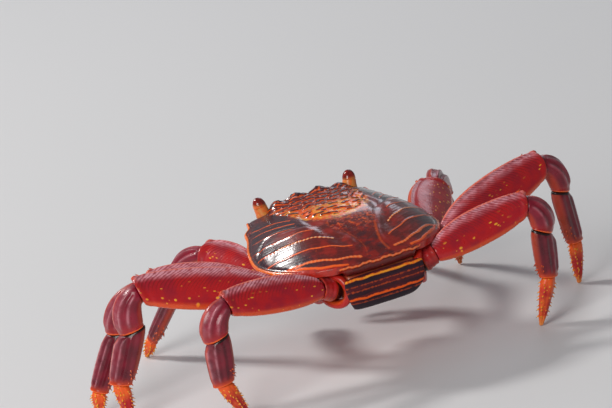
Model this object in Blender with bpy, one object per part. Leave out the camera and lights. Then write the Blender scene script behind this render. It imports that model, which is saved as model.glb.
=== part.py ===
"""A sally lightfoot crab at life size, standing still on its eight walking legs.

The crab faces -Y, its left side is +X and the floor is z = 0. Sizes are in millimetres, and
solid() turns them into the scene's metres. Body places are measured from the middle of the
carapace at the level of its rear margin, which is BODY_HEIGHT above the floor.
"""

import math
import random

import bmesh
import bpy
from mathutils import Vector

MM = 0.001

# Driving sizes
BODY_HEIGHT = 46.0
GAP = 0.3
SIDES = {"left": 1, "right": -1}
ROUND_SIDES = 10

# Carapace: half of its rim from the middle of the front round to the middle of the rear,
# as sideways, backward and upward places
HALF_RIM = (
    (0.0, -31.0, 2.0),
    (4.5, -31.8, 1.6),
    (9.0, -31.4, 2.0),
    (13.5, -31.8, 2.2),
    (17.0, -30.6, 3.4),
    (21.0, -28.6, 3.2),
    (24.0, -30.2, 5.8),
    (25.4, -26.8, 4.6),
    (28.0, -24.6, 4.0),
    (29.6, -20.4, 2.8),
    (33.8, -12.0, 1.4),
    (36.0, -3.0, -0.6),
    (35.6, 6.0, -1.5),
    (32.8, 15.0, -1.5),
    (27.6, 23.6, -1.2),
    (21.4, 29.6, -0.4),
    (15.6, 32.6, 0.0),
    (8.0, 33.6, 0.2),
    (0.0, 33.8, 0.2),
)
RIM_STEPS = 2
CROWN = (0.0, -4.0, 12.4)
CROWN_RINGS = (0.1, 0.26, 0.42, 0.56, 0.69, 0.8, 0.88, 0.94, 0.98, 1.0)
# Fall of the top from the crown: how far, over what reach and by what power
SIDE_FALL = (13.2, 36.0, 2.4)
REAR_FALL = (12.2, 37.8, 2.2)
FRONT_FALL = (1.2, 24.0, 2.0)
# How late the top is drawn to the rim, round the sides and along the upright front
EDGE_POWER = (8.0, 20.0)
RELIEF_FADE = 12
WALL_RINGS = ((0.985, -0.9), (0.9, -2.6), (0.8, -4.2))
REAR_WALL = 0.85

# Relief of the top: lobes behind the front edge, and the grooves and domes behind them
LOBES = {"places": (4.6, 13.2), "back": -26.6, "spread": (3.4, 3.2), "height": 1.5}
SIDE_GROOVE = {"off": 10.5, "swing": 2.5, "middle": 4.0, "pitch": 9.0, "width": 2.6, "depth": 0.9}
NECK_GROOVE = {"back": 6.0, "spread": (13.0, 2.8), "depth": 0.63}
GILL_DOME = {"place": (19.0, 12.0), "spread": (8.0, 10.0), "height": 0.8}

# Breast: one upright face for each leg, named by its middle, its height and the way it faces
SOCKETS = {
    "claw": (15.0, -17.5, -11.0, -48.0),
    "leg1": (20.0, -7.0, -10.6, -22.0),
    "leg2": (21.6, 5.0, -10.4, -4.0),
    "leg3": (20.2, 16.6, -10.2, 8.0),
    "leg4": (16.0, 25.8, -9.8, 26.0),
}
BREAST_FRONT = -23.6
BREAST_REAR = 31.6
BREAST_MIDDLE = 4.0
BREAST_RINGS = ((-4.5, 1.0), (-12.6, 1.0), (-15.2, 0.88), (-16.6, 0.66))

# Tail flap, folded under the breast: backward place, height and half width along its middle,
# and its section as shares of the half width and of half the thickness
TAIL_PATH = (
    (33.2, -4.8, 15.6),
    (33.3, -8.0, 16.0),
    (33.3, -12.5, 15.4),
    (30.3, -17.1, 13.0),
    (22.0, -18.3, 9.6),
    (10.0, -18.3, 6.6),
    (-1.0, -18.2, 4.2),
    (-7.0, -18.1, 1.8),
)
TAIL_THICKNESS = 2.4
TAIL_SECTION = (
    (-1.0, -0.7),
    (-1.0, 0.1),
    (-0.72, 0.85),
    (0.0, 1.0),
    (0.72, 0.85),
    (1.0, 0.1),
    (1.0, -0.7),
    (0.4, -0.9),
    (-0.4, -0.9),
)

# Walking legs, front to rear: start of the merus, lengths of merus, carpus and propodus,
# their greatest widths with the dactyl's, and a power that moves the fullest part of the merus
# outward where it is under 1
LEGS = {
    "leg1": {
        "start": (27.0, -14.6, -9.6),
        "lengths": (28.5, 21.5, 27.0),
        "widths": (14.6, 9.4, 7.8, 5.2),
        "fullest": 0.6,
    },
    "leg2": {
        "start": (33.0, 3.2, -8.2),
        "lengths": (43.8, 21.0, 23.6),
        "widths": (17.4, 10.6, 9.2, 5.6),
        "fullest": 0.75,
    },
    "leg3": {
        "start": (33.6, 14.8, -7.2),
        "lengths": (52.2, 14.8, 20.8),
        "widths": (16.8, 11.4, 10.8, 6.4),
        "fullest": 1.0,
    },
    "leg4": {
        "start": (23.2, 28.0, -7.0),
        "lengths": (38.8, 12.4, 17.6),
        "widths": (14.2, 10.8, 10.4, 6.2),
        "fullest": 1.0,
    },
}
# How each leg is held, in degrees: heading from straight out towards the rear, how far its broad
# faces lean forward, then the upward slopes of merus, carpus, propodus and dactyl
STANCE = {
    "left": {
        "leg1": (-62.0, 54.0, (13.0, -42.0, -52.0, -60.0)),
        "leg2": (-21.0, 42.0, (10.5, -45.0, -63.0, -80.0)),
        "leg3": (-17.0, 38.0, (11.6, -70.0, -68.0, -96.0)),
        "leg4": (3.0, 30.0, (8.2, -61.0, -88.0, -116.0)),
    },
    "right": {
        "leg1": (-66.0, 50.0, (-3.0, -20.0, -44.0, -62.0)),
        "leg2": (-61.0, 62.0, (6.4, -26.0, -60.0, -74.0)),
        "leg3": (-17.0, 38.0, (12.0, -60.0, -82.0, -96.0)),
        "leg4": (3.0, 30.0, (11.5, -68.0, -92.0, -110.0)),
    },
}
# Share of that lean which base, merus, carpus, propodus and dactyl take up
LEAN_SHARES = (0.5, 1.0, 0.6, 0.6, 0.6)
# How far the faces of the joints before and after the carpus are turned from halfway, in
# degrees, and how strongly the carpus bows between them
KNEE_TURN = 12.0
WRIST_TURN = -38.0
CARPUS_BOW = 1.12

# Outline of each segment: place along it, width and thickness as shares of its greatest width
BASE_WIDTH = 9.2
BASE_OUTLINE = ((0.0, 0.94, 0.84), (0.3, 1.0, 0.92), (0.65, 0.94, 0.84), (1.0, 0.84, 0.72))
MERUS_OUTLINE = (
    (0.0, 0.5, 0.4),
    (0.05, 0.62, 0.43),
    (0.15, 0.8, 0.44),
    (0.32, 0.96, 0.42),
    (0.52, 1.0, 0.4),
    (0.7, 0.95, 0.38),
    (0.84, 0.85, 0.38),
    (0.94, 0.73, 0.4),
    (1.0, 0.6, 0.42),
)
CARPUS_OUTLINE = (
    (0.0, 0.74, 0.56),
    (0.16, 0.84, 0.62),
    (0.42, 0.96, 0.64),
    (0.7, 1.0, 0.64),
    (0.9, 0.97, 0.62),
    (1.0, 0.9, 0.58),
)
PROPODUS_OUTLINE = (
    (0.0, 0.84, 0.56),
    (0.12, 0.96, 0.62),
    (0.36, 1.0, 0.6),
    (0.64, 0.96, 0.58),
    (0.88, 0.86, 0.56),
    (1.0, 0.76, 0.52),
)
DACTYL_OUTLINE = (
    (0.0, 0.9, 0.74),
    (0.16, 1.0, 0.8),
    (0.4, 0.86, 0.72),
    (0.64, 0.66, 0.58),
    (0.84, 0.46, 0.42),
    (1.0, 0.26, 0.26),
)
# Upper edges are sharper than lower ones, by this share of the thickness
EDGE_SHARPENING = 0.35
# Share of a segment's length over which a slanted end face dies away
SLANT_REACH = 0.42

# Spines: length and root radius, their places along a segment, and the angles round it,
# measured from the upper edge, and how far they lean outward along the leg
SPINE_SIDES = 5
SPINE_SWELL = 1.15
SPINE_SUNK = 1.0 / 3.0
SPINE_TURN = 6.0
SPINE_SIZE = (0.85, 1.15)
SPINES = {
    "dactyl": {"size": (1.7, 0.46), "places": (0.2, 0.36, 0.52, 0.67),
               "angles": (28.0, 152.0, 208.0, 332.0), "lean": 28.0},
    "propodus": {"size": (1.7, 0.5), "places": (0.7, 0.82, 0.92),
                 "angles": (158.0, 202.0), "lean": 36.0},
    "merus": {"size": (1.2, 0.7), "places": (0.93,), "angles": (0.0,), "lean": 48.0},
    "toothed_merus": {"size": (1.6, 0.7), "places": (0.85, 0.91), "angles": (158.0, 202.0),
                      "lean": 34.0},
    "merus_tooth": {"size": (2.2, 1.1), "places": (0.93,), "angles": (0.0,), "lean": 48.0},
}
TOOTHED_LEGS = ("leg1", "leg2")

# Claws: ends of arm, wrist, palm and fingers, their widths and outlines
CLAW_POINTS = {
    "arm": (24.6, -32.4, -11.6),
    "wrist": (22.4, -42.0, -14.6),
    "palm": (13.4, -49.4, -22.4),
    "tip": (6.6, -52.4, -28.8),
}
CLAW_WIDTHS = {"arm": 9.6, "wrist": 10.4, "palm": 13.0, "finger": 5.6}
ARM_OUTLINE = (
    (0.0, 0.76, 0.66),
    (0.25, 0.94, 0.74),
    (0.6, 1.0, 0.74),
    (0.88, 0.94, 0.72),
    (1.0, 0.84, 0.68),
)
WRIST_OUTLINE = ((0.0, 0.72, 0.66), (0.3, 0.98, 0.86), (0.7, 1.0, 0.84), (1.0, 0.72, 0.66))
PALM_OUTLINE = (
    (0.0, 0.6, 0.46),
    (0.22, 0.86, 0.6),
    (0.55, 1.0, 0.64),
    (0.84, 1.0, 0.6),
    (1.0, 0.94, 0.52),
)
# Fingers: place along them, width share and outward bow
FINGER_OUTLINE = (
    (0.0, 0.9, 0.0),
    (0.25, 1.0, 0.9),
    (0.55, 0.8, 1.3),
    (0.82, 0.66, 0.9),
    (1.0, 0.5, 0.1),
)
ARM_BROAD = (0.55, 0.0, 0.85)
PALM_BROAD = (0.75, -0.66, 0.0)
FINGER_SPREAD = 3.6
FINGER_CLOSING = 1.5
FINGER_ROOT = 2.0
WRIST_TOOTH = {"size": (3.4, 1.3), "way": (-0.86, -0.42, 0.2), "place": 0.55, "depth": 0.4}

# Eyes, feelers and mouth plates
EYE_ROOT = (17.2, -27.6, 4.6)
EYE_TIP = (19.0, -29.8, 14.6)
STALK_WIDTH = 5.0
STALK_PROFILE = ((0.0, 1.0), (0.3, 1.0), (0.48, 0.94), (0.62, 0.96))
CORNEA_PROFILE = ((0.65, 0.96), (0.76, 1.02), (0.88, 0.84), (0.96, 0.52), (1.0, 0.16))
FEELER_ROOT = (12.4, -30.2, 1.4)
FEELER_REACH = (3.4, -6.0, -3.2)
FEELER_WIDTH = 1.7
FEELER_TAPER = 0.66
FEELER_STEPS = 6
FEELER_SOCKET = 4.0
MOUTH_PLATE = {"inner": 0.4, "outer": 8.2, "top": -4.8, "bottom": -15.4, "thickness": 2.6}
MOUTH_RINGS = (0.0, 0.3, 0.7, 1.0)

COLOURS = {
    "shell": ((0.12, 0.016, 0.012), 0.32),
    "breast": ((0.42, 0.12, 0.06), 0.5),
    "leg": ((0.4, 0.014, 0.02), 0.36),
    "joint": ((0.3, 0.012, 0.03), 0.4),
    "foot": ((0.55, 0.06, 0.02), 0.45),
    "claw": ((0.42, 0.02, 0.03), 0.36),
    "stalk": ((0.5, 0.2, 0.05), 0.45),
    "cornea": ((0.12, 0.012, 0.01), 0.15),
    "feeler": ((0.3, 0.03, 0.02), 0.5),
}


def clear_scene():
    for obj in list(bpy.data.objects):
        bpy.data.objects.remove(obj, do_unlink=True)


def material(kind):
    found = bpy.data.materials.get(kind)
    if found:
        return found
    colour, roughness = COLOURS[kind]
    made = bpy.data.materials.new(kind)
    made.use_nodes = True
    shader = made.node_tree.nodes["Principled BSDF"]
    shader.inputs["Base Color"].default_value = (*colour, 1.0)
    shader.inputs["Roughness"].default_value = roughness
    shader.inputs["Metallic"].default_value = 0.0
    return made


def solid(name, kind, shape, edge_angle=40.0):
    """Turns a bmesh in millimetres into a named object standing on the floor."""
    bmesh.ops.recalc_face_normals(shape, faces=shape.faces)
    bmesh.ops.translate(shape, verts=shape.verts, vec=(0.0, 0.0, BODY_HEIGHT))
    bmesh.ops.scale(shape, verts=shape.verts, vec=(MM, MM, MM))
    mesh = bpy.data.meshes.new(name)
    shape.to_mesh(mesh)
    shape.free()
    mesh.materials.append(material(kind))
    mesh.shade_smooth()
    mesh.set_sharp_from_angle(angle=math.radians(edge_angle))
    obj = bpy.data.objects.new(name, mesh)
    bpy.context.scene.collection.objects.link(obj)
    return obj


def bridged(rings):
    """A closed bmesh through rings of equal counts, with a face across each end."""
    shape = bmesh.new()
    loops = []
    for ring in rings:
        verts = [shape.verts.new(point) for point in ring]
        loops.append([shape.edges.new((verts[i - 1], verts[i])) for i in range(len(verts))])
    for lower, upper in zip(loops, loops[1:]):
        bmesh.ops.bridge_loops(shape, edges=lower + upper)
    for end in (loops[0], loops[-1]):
        bmesh.ops.contextual_create(shape, geom=end)
    return shape


def around(centre, across, other, radius, points):
    """A round ring about centre, in the plane of the two ways."""
    turns = [2 * math.pi * i / points for i in range(points)]
    return [centre + across * (math.cos(a) * radius) + other * (math.sin(a) * radius)
            for a in turns]


def cross_ways(along):
    """Two ways at right angles to along and to each other."""
    across = along.orthogonal().normalized()
    return across, along.cross(across)


def smooth_step(value):
    value = min(1.0, max(0.0, value))
    return value * value * (3.0 - 2.0 * value)


def swell(x, y, place, spread):
    """A soft round hump of height 1 at place."""
    return math.exp(-(((x - place[0]) / spread[0]) ** 2) - ((y - place[1]) / spread[1]) ** 2)


def rounded(points, steps):
    """Points of a smooth closed curve through the given ones, with steps to each span."""
    count = len(points)
    curve = []
    for i in range(count):
        a, b, c, d = (Vector(points[(i + k) % count]) for k in (-1, 0, 1, 2))
        for k in range(steps):
            t = k / steps
            curve.append(
                0.5 * (2 * b + (c - a) * t + (2 * a - 5 * b + 4 * c - d) * t**2
                       + (3 * b - a - 3 * c + d) * t**3)
            )
    return curve


def carapace_rim():
    other_half = [(-x, y, z) for x, y, z in reversed(HALF_RIM[1:-1])]
    return rounded([*HALF_RIM, *other_half], RIM_STEPS)


def crown_height(x, y):
    """The smooth top of the carapace, before its edge is drawn down to the rim."""
    back = y - CROWN[1]
    height = CROWN[2]
    for place, (drop, reach, power) in ((abs(x), SIDE_FALL), (back, REAR_FALL), (-back, FRONT_FALL)):
        height -= drop * (max(0.0, place) / reach) ** power
    return height


def steepness(x, y):
    """How late the top is drawn to the rim: latest along the upright front."""
    front = smooth_step((-y - 12.0) / 16.0) * smooth_step((30.0 - abs(x)) / 14.0)
    side_power, front_power = EDGE_POWER
    return side_power + (front_power - side_power) * front


def relief(x, y):
    """Lobes behind the front edge, and the grooves that part the middle from the gill domes."""
    across = abs(x)
    lift = sum(LOBES["height"] * swell(across, y, (place, LOBES["back"]), LOBES["spread"])
               for place in LOBES["places"])
    groove = SIDE_GROOVE
    groove_x = groove["off"] + groove["swing"] * math.cos((y - groove["middle"]) / groove["pitch"])
    along = smooth_step((y + 16.0) / 8.0) * smooth_step((27.0 - y) / 8.0)
    lift -= groove["depth"] * along * math.exp(-(((across - groove_x) / groove["width"]) ** 2))
    lift -= NECK_GROOVE["depth"] * swell(x, y, (0.0, NECK_GROOVE["back"]), NECK_GROOVE["spread"])
    lift += GILL_DOME["height"] * swell(across, y, GILL_DOME["place"], GILL_DOME["spread"])
    return lift


def make_carapace():
    rim = carapace_rim()
    crown = Vector(CROWN)
    rings = []
    for share in CROWN_RINGS:
        ring = []
        for edge in rim:
            x = crown.x + (edge.x - crown.x) * share
            y = crown.y + (edge.y - crown.y) * share
            draw = (edge.z - crown_height(edge.x, edge.y)) * share ** steepness(edge.x, edge.y)
            inside = 1.0 - share**RELIEF_FADE
            ring.append((x, y, crown_height(x, y) + draw + relief(x, y) * inside))
        rings.append(ring)
    lowest = WALL_RINGS[-1][1]
    for share, height in WALL_RINGS:
        ring = []
        for edge in rim:
            rear = smooth_step((edge.y - 24.0) / 8.0) * smooth_step((18.0 - abs(edge.x)) / 4.0)
            inset = share + (1.0 - share) * REAR_WALL * rear
            ring.append((crown.x + (edge.x - crown.x) * inset,
                         crown.y + (edge.y - crown.y) * inset,
                         edge.z + (lowest - edge.z) * height / lowest))
        rings.append(ring)
    return solid("carapace", "shell", bridged(rings), edge_angle=50.0)


def facing(heading, side=1):
    """The level way of a heading, in degrees from straight out towards the rear."""
    angle = math.radians(heading)
    return Vector((side * math.cos(angle), math.sin(angle), 0.0))


def breast_outline():
    """Corners of the breast seen from above, where the upright faces of the legs cross."""
    faces = [(Vector((0.0, BREAST_FRONT, 0.0)), Vector((0.0, -1.0, 0.0)))]
    for x, y, _, heading in SOCKETS.values():
        faces.append((Vector((x, y, 0.0)), facing(heading)))
    faces.append((Vector((0.0, BREAST_REAR, 0.0)), Vector((0.0, 1.0, 0.0))))
    half = []
    for (place_a, way_a), (place_b, way_b) in zip(faces, faces[1:]):
        reach_a, reach_b = place_a.dot(way_a) - GAP / 2, place_b.dot(way_b) - GAP / 2
        turn = way_a.x * way_b.y - way_a.y * way_b.x
        half.append(
            ((reach_a * way_b.y - reach_b * way_a.y) / turn,
             (way_a.x * reach_b - way_b.x * reach_a) / turn)
        )
    return half + [(-x, y) for x, y in reversed(half)]


def make_breast():
    outline = breast_outline()
    rings = [[(x * share, BREAST_MIDDLE + (y - BREAST_MIDDLE) * share, height)
              for x, y in outline] for height, share in BREAST_RINGS]
    return solid("breast", "breast", bridged(rings), edge_angle=30.0)


def make_tail_flap():
    rings = []
    spots = [Vector((0.0, y, z)) for y, z, _ in TAIL_PATH]
    for i, (spot, (_, _, half)) in enumerate(zip(spots, TAIL_PATH)):
        along = (spots[min(i + 1, len(spots) - 1)] - spots[max(i - 1, 0)]).normalized()
        if i == 0:
            along = Vector((0.0, 0.0, -1.0))
        thick = Vector((1.0, 0.0, 0.0)).cross(along) * TAIL_THICKNESS / 2
        rings.append([spot + Vector((half * x, 0.0, 0.0)) + thick * z for x, z in TAIL_SECTION])
    return solid("tail_flap", "breast", bridged(rings), edge_angle=50.0)


def section(centre, broad, thin, width, thickness, points):
    """One ring across a segment, sharper on its upper edge than on its lower one."""
    ring = []
    for i in range(points):
        angle = 2 * math.pi * i / points
        up, out = math.cos(angle), math.sin(angle)
        edge = 1.0 - EDGE_SHARPENING * max(0.0, up) ** 2
        ring.append(centre + broad * (up * width / 2) + thin * (out * edge * thickness / 2))
    return ring


def segment_rings(start, end, start_face, end_face, broad, width, outline, points, bulge=0.0):
    """Rings from start to end, whose end rings lie GAP / 2 inside the given faces."""
    along = (end - start).normalized()
    broad = (broad - along * broad.dot(along)).normalized()
    thin = along.cross(broad)
    length = (end - start).length
    rings = []
    for place, wide, thick in outline:
        lift = broad * width * bulge * (wide - outline[-1][1])
        centre = start + along * (length * place) + lift
        ring = section(centre, broad, thin, width * wide, width * thick, points)
        near_start = 1.0 - smooth_step(place / SLANT_REACH)
        near_end = 1.0 - smooth_step((1.0 - place) / SLANT_REACH)
        moved = []
        for point in ring:
            slant_a = -(point - centre).dot(start_face) / along.dot(start_face)
            slant_b = -(point - centre).dot(end_face) / along.dot(end_face)
            clear_a = GAP / 2 / abs(along.dot(start_face))
            clear_b = GAP / 2 / abs(along.dot(end_face))
            if place == 0.0:
                slant_a -= lift.dot(start_face) / along.dot(start_face)
            if place == 1.0:
                slant_b -= lift.dot(end_face) / along.dot(end_face)
            shift = (slant_a + clear_a) * near_start + (slant_b - clear_b) * near_end
            moved.append(point + along * shift)
        rings.append(moved)
    return rings


def bowed_rings(start, end, start_face, end_face, broad, width, outline, points):
    """Rings on a bow from start to end, square to it, that meets both faces at right angles."""
    reach = (end - start).length * CARPUS_BOW
    rings = []
    for t, wide, thick in outline:
        centre = (start * (1 + 2 * t) * (1 - t) ** 2 + end * t**2 * (3 - 2 * t)
                  + start_face * (reach * t * (1 - t) ** 2) + end_face * (reach * t**2 * (t - 1)))
        along = ((end - start) * (6 * t * (1 - t)) + start_face * (reach * (1 - t) * (1 - 3 * t))
                 + end_face * (reach * t * (3 * t - 2))).normalized()
        centre += along * (GAP / 2 * (1 - 2 * t))
        level = (broad - along * broad.dot(along)).normalized()
        rings.append(section(centre, level, along.cross(level), width * wide, width * thick, points))
    return rings


def spine(root, way, length, radius):
    """A slim cone that stands in the surface at root, its foot sunk by a share of its length."""
    shape = bmesh.new()
    depth = length * (1.0 + SPINE_SUNK)
    bmesh.ops.create_cone(shape, cap_ends=True, segments=SPINE_SIDES,
                          radius1=radius * SPINE_SWELL, radius2=0.0, depth=depth)
    turn = Vector((0.0, 0.0, 1.0)).rotation_difference(way)
    bmesh.ops.rotate(shape, verts=shape.verts, matrix=turn.to_matrix())
    bmesh.ops.translate(shape, verts=shape.verts, vec=root + way * (length - depth / 2))
    return shape


def surface_spines(rings, outline, kind, chance):
    """Spines in rows on a segment: each stands where its row crosses the surface."""
    length, radius = SPINES[kind]["size"]
    lean = math.radians(SPINES[kind]["lean"])
    places = [row[0] for row in outline]
    count = len(rings[0])
    made = []
    for place in SPINES[kind]["places"]:
        after = next(i for i, known in enumerate(places) if known >= place)
        share = (place - places[after - 1]) / (places[after] - places[after - 1])
        ring = [a.lerp(b, share) for a, b in zip(rings[after - 1], rings[after])]
        centre = sum(ring, Vector()) / count
        along = sum(rings[after], Vector()) - sum(rings[after - 1], Vector())
        along.normalize()
        for angle in SPINES[kind]["angles"]:
            turn = (angle + chance.uniform(-SPINE_TURN, SPINE_TURN)) / 360.0 * count
            low = int(turn) % count
            spot = ring[low].lerp(ring[(low + 1) % count], turn - int(turn))
            outward = spot - centre
            outward = (outward - along * outward.dot(along)).normalized()
            way = outward * math.cos(lean) + along * math.sin(lean)
            size = chance.uniform(*SPINE_SIZE)
            made.append(spine(spot, way, length * size, radius * size))
    return made


def leg_direction(heading, slope, side):
    level, rise = math.cos(math.radians(slope)), math.sin(math.radians(slope))
    return facing(heading, side) * level + Vector((0.0, 0.0, rise))


def leg_joints(name, side_name):
    """The joints of one walking leg, from its socket to the foot, as it is held."""
    leg = LEGS[name]
    side = SIDES[side_name]
    heading, _, slopes = STANCE[side_name][name]
    x, y, z, _ = SOCKETS[name]
    joints = [Vector((side * x, y, z)), Vector((side * leg["start"][0], *leg["start"][1:]))]
    for length, slope in zip(leg["lengths"], slopes):
        joints.append(joints[-1] + leg_direction(heading, slope, side) * length)
    foot_way = leg_direction(heading, slopes[3], side)
    foot_length = (joints[-1].z + BODY_HEIGHT) / -foot_way.z
    joints.append(joints[-1] + foot_way * foot_length)
    return joints


def leg_plan(name, side_name):
    """The joints, the faces between segments and the broad ways of one walking leg."""
    side = SIDES[side_name]
    heading, lean, slopes = STANCE[side_name][name]
    joints = leg_joints(name, side_name)
    ways = [(b - a).normalized() for a, b in zip(joints, joints[1:])]
    faces = [facing(SOCKETS[name][3], side)]
    faces += [(a + b).normalized() for a, b in zip(ways, ways[1:])]
    faces[2] = leg_direction(heading, (slopes[0] + slopes[1]) / 2 + KNEE_TURN, side)
    faces[3] = leg_direction(heading, (slopes[1] + slopes[2]) / 2 + WRIST_TURN, side)
    faces.append(Vector((0.0, 0.0, -1.0)))
    turn = math.radians(heading)
    forward = Vector((side * math.sin(turn), -math.cos(turn), 0.0))
    broads = []
    for way, share in zip(ways, LEAN_SHARES):
        upward = forward.cross(way) * side
        tilt = math.radians(lean * share)
        broads.append(upward * math.cos(tilt) + forward * math.sin(tilt))
    return joints, faces, broads


def make_leg(name, side_name):
    chance = random.Random(f"{name} {side_name}")
    joints, faces, broads = leg_plan(name, side_name)
    merus_width, carpus_width, propodus_width, dactyl_width = LEGS[name]["widths"]
    merus = [(place ** LEGS[name]["fullest"], broad, thin) for place, broad, thin in MERUS_OUTLINE]
    pieces = (
        ("base", "joint", BASE_WIDTH, BASE_OUTLINE, 10, 0.0),
        ("merus", "leg", merus_width, merus, 12, 0.16),
        ("carpus", "joint", carpus_width, CARPUS_OUTLINE, 10, 0.0),
        ("propodus", "leg", propodus_width, PROPODUS_OUTLINE, 10, 0.05),
        ("dactyl", "foot", dactyl_width, DACTYL_OUTLINE, 8, 0.0),
    )
    for k, (part, kind, width, outline, points, bulge) in enumerate(pieces):
        ends = (joints[k], joints[k + 1], faces[k], faces[k + 1])
        if part == "carpus":
            rings = bowed_rings(*ends, broads[k], width, outline, points)
        else:
            rings = segment_rings(*ends, broads[k], width, outline, points, bulge)
        if part == "dactyl":
            rings[-1] = [Vector((point.x, point.y, -BODY_HEIGHT)) for point in rings[-1]]
        node = solid(f"{name}_{part}_{side_name}", kind, bridged(rings))
        rows = [part] if part in SPINES else []
        if part == "merus" and name in TOOTHED_LEGS:
            rows = ["toothed_merus", "merus_tooth"]
        spines = [shape for row in rows for shape in surface_spines(rings, outline, row, chance)]
        if spines:
            fuse(node, [solid("spine", kind, shape) for shape in spines])


def finger(root, tip, across, bend):
    """A short claw finger that bows outward and ends in a blunt tip."""
    along = (tip - root).normalized()
    thin = along.cross(across).normalized()
    rings = []
    for place, share, bow in FINGER_OUTLINE:
        centre = root.lerp(tip, place) + across * (bend * bow)
        rings.append(around(centre, across, thin, CLAW_WIDTHS["finger"] * share / 2, 8))
    return bridged(rings)


def make_wrist_tooth(start, end, side):
    tooth = WRIST_TOOTH
    way = Vector((side * tooth["way"][0], *tooth["way"][1:])).normalized()
    root = start.lerp(end, tooth["place"]) + way * CLAW_WIDTHS["wrist"] * tooth["depth"]
    return solid("tooth", "claw", spine(root, way, *tooth["size"]))


def make_claw(side_name, side):
    x, y, z, heading = SOCKETS["claw"]
    spots = [Vector((side * x, y, z))]
    spots += [Vector((side * point[0], *point[1:])) for point in CLAW_POINTS.values()]
    ways = [(b - a).normalized() for a, b in zip(spots, spots[1:])]
    faces = [facing(heading, side), (ways[0] + ways[1]).normalized(),
             (ways[1] + ways[2]).normalized(), ways[3]]
    arm_broad = Vector((side * ARM_BROAD[0], *ARM_BROAD[1:]))
    outer = Vector((side * PALM_BROAD[0], *PALM_BROAD[1:]))
    arm = segment_rings(spots[0], spots[1], faces[0], faces[1], arm_broad,
                        CLAW_WIDTHS["arm"], ARM_OUTLINE, 10, 0.05)
    solid(f"claw_arm_{side_name}", "claw", bridged(arm))
    wrist = segment_rings(spots[1], spots[2], faces[1], faces[2], arm_broad,
                          CLAW_WIDTHS["wrist"], WRIST_OUTLINE, 10)
    wrist_node = solid(f"claw_wrist_{side_name}", "claw", bridged(wrist))
    fuse(wrist_node, [make_wrist_tooth(spots[1], spots[2], side)])
    palm = segment_rings(spots[2], spots[3], faces[2], faces[3], outer,
                         CLAW_WIDTHS["palm"], PALM_OUTLINE, 12)
    palm_node = solid(f"claw_palm_{side_name}", "claw", bridged(palm))
    across = (outer - ways[3] * outer.dot(ways[3])).normalized()
    fixed_root = spots[3] - across * FINGER_SPREAD - ways[3] * FINGER_ROOT
    fixed = finger(fixed_root, spots[4] - across * FINGER_CLOSING, across, -1)
    fuse(palm_node, [solid("fixed_finger", "claw", fixed)])
    free_root = spots[3] + across * FINGER_SPREAD + ways[3] * GAP
    free = finger(free_root, spots[4] + across * FINGER_CLOSING, across, 1)
    solid(f"claw_finger_{side_name}", "claw", free)


def apply_boolean(node, boolean):
    """Applies the node's one Boolean modifier, and keeps the largest closed surface."""
    boolean.solver = "EXACT"
    bpy.context.view_layer.update()
    graph = bpy.context.evaluated_depsgraph_get()
    joined = bpy.data.meshes.new_from_object(node.evaluated_get(graph))
    node.modifiers.clear()
    node.data = joined
    keep_largest(joined)


def fuse(node, pieces):
    """Joins the pieces to the node with one union."""
    bunch = bpy.data.collections.new("fused")
    for piece in pieces:
        for old in list(piece.users_collection):
            old.objects.unlink(piece)
        bunch.objects.link(piece)
    bpy.context.scene.collection.children.link(bunch)
    union = node.modifiers.new("union", "BOOLEAN")
    union.operation = "UNION"
    union.operand_type = "COLLECTION"
    union.collection = bunch
    apply_boolean(node, union)
    for piece in list(bunch.objects):
        bpy.data.objects.remove(piece, do_unlink=True)
    bpy.data.collections.remove(bunch)


def keep_largest(mesh):
    shape = bmesh.new()
    shape.from_mesh(mesh)
    left = set(shape.verts)
    shells = []
    while left:
        shell, edge = set(), [left.pop()]
        while edge:
            vert = edge.pop()
            shell.add(vert)
            for other in (line.other_vert(vert) for line in vert.link_edges):
                if other in left:
                    left.discard(other)
                    edge.append(other)
        shells.append(shell)
    shells.sort(key=len)
    for shell in shells[:-1]:
        bmesh.ops.delete(shape, geom=list(shell), context="VERTS")
    shape.to_mesh(mesh)
    shape.free()


def cut_socket(node, root, tip, width):
    """Sinks a round socket into the node, GAP wider all round than what stands in it."""
    along = (tip - root).normalized()
    across, other = cross_ways(along)
    reach = width / 2 + GAP
    ends = (root - along * GAP, tip)
    rings = [around(end, across, other, reach, ROUND_SIDES) for end in ends]
    cutter = solid("socket_cutter", "joint", bridged(rings))
    cut = node.modifiers.new("socket", "BOOLEAN")
    cut.operation = "DIFFERENCE"
    cut.object = cutter
    apply_boolean(node, cut)
    bpy.data.objects.remove(cutter, do_unlink=True)


def turned(root, tip, profile, width):
    """A round form along a line, from places along it and shares of its half width."""
    across, other = cross_ways((tip - root).normalized())
    return bridged([around(root.lerp(tip, place), across, other, share * width / 2, ROUND_SIDES)
                    for place, share in profile])


def make_eye(carapace, side_name, side):
    root = Vector((side * EYE_ROOT[0], *EYE_ROOT[1:]))
    tip = Vector((side * EYE_TIP[0], *EYE_TIP[1:]))
    cut_socket(carapace, root, tip, STALK_WIDTH)
    solid(f"eyestalk_{side_name}", "stalk", turned(root, tip, STALK_PROFILE, STALK_WIDTH))
    solid(f"cornea_{side_name}", "cornea", turned(root, tip, CORNEA_PROFILE, STALK_WIDTH))


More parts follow.
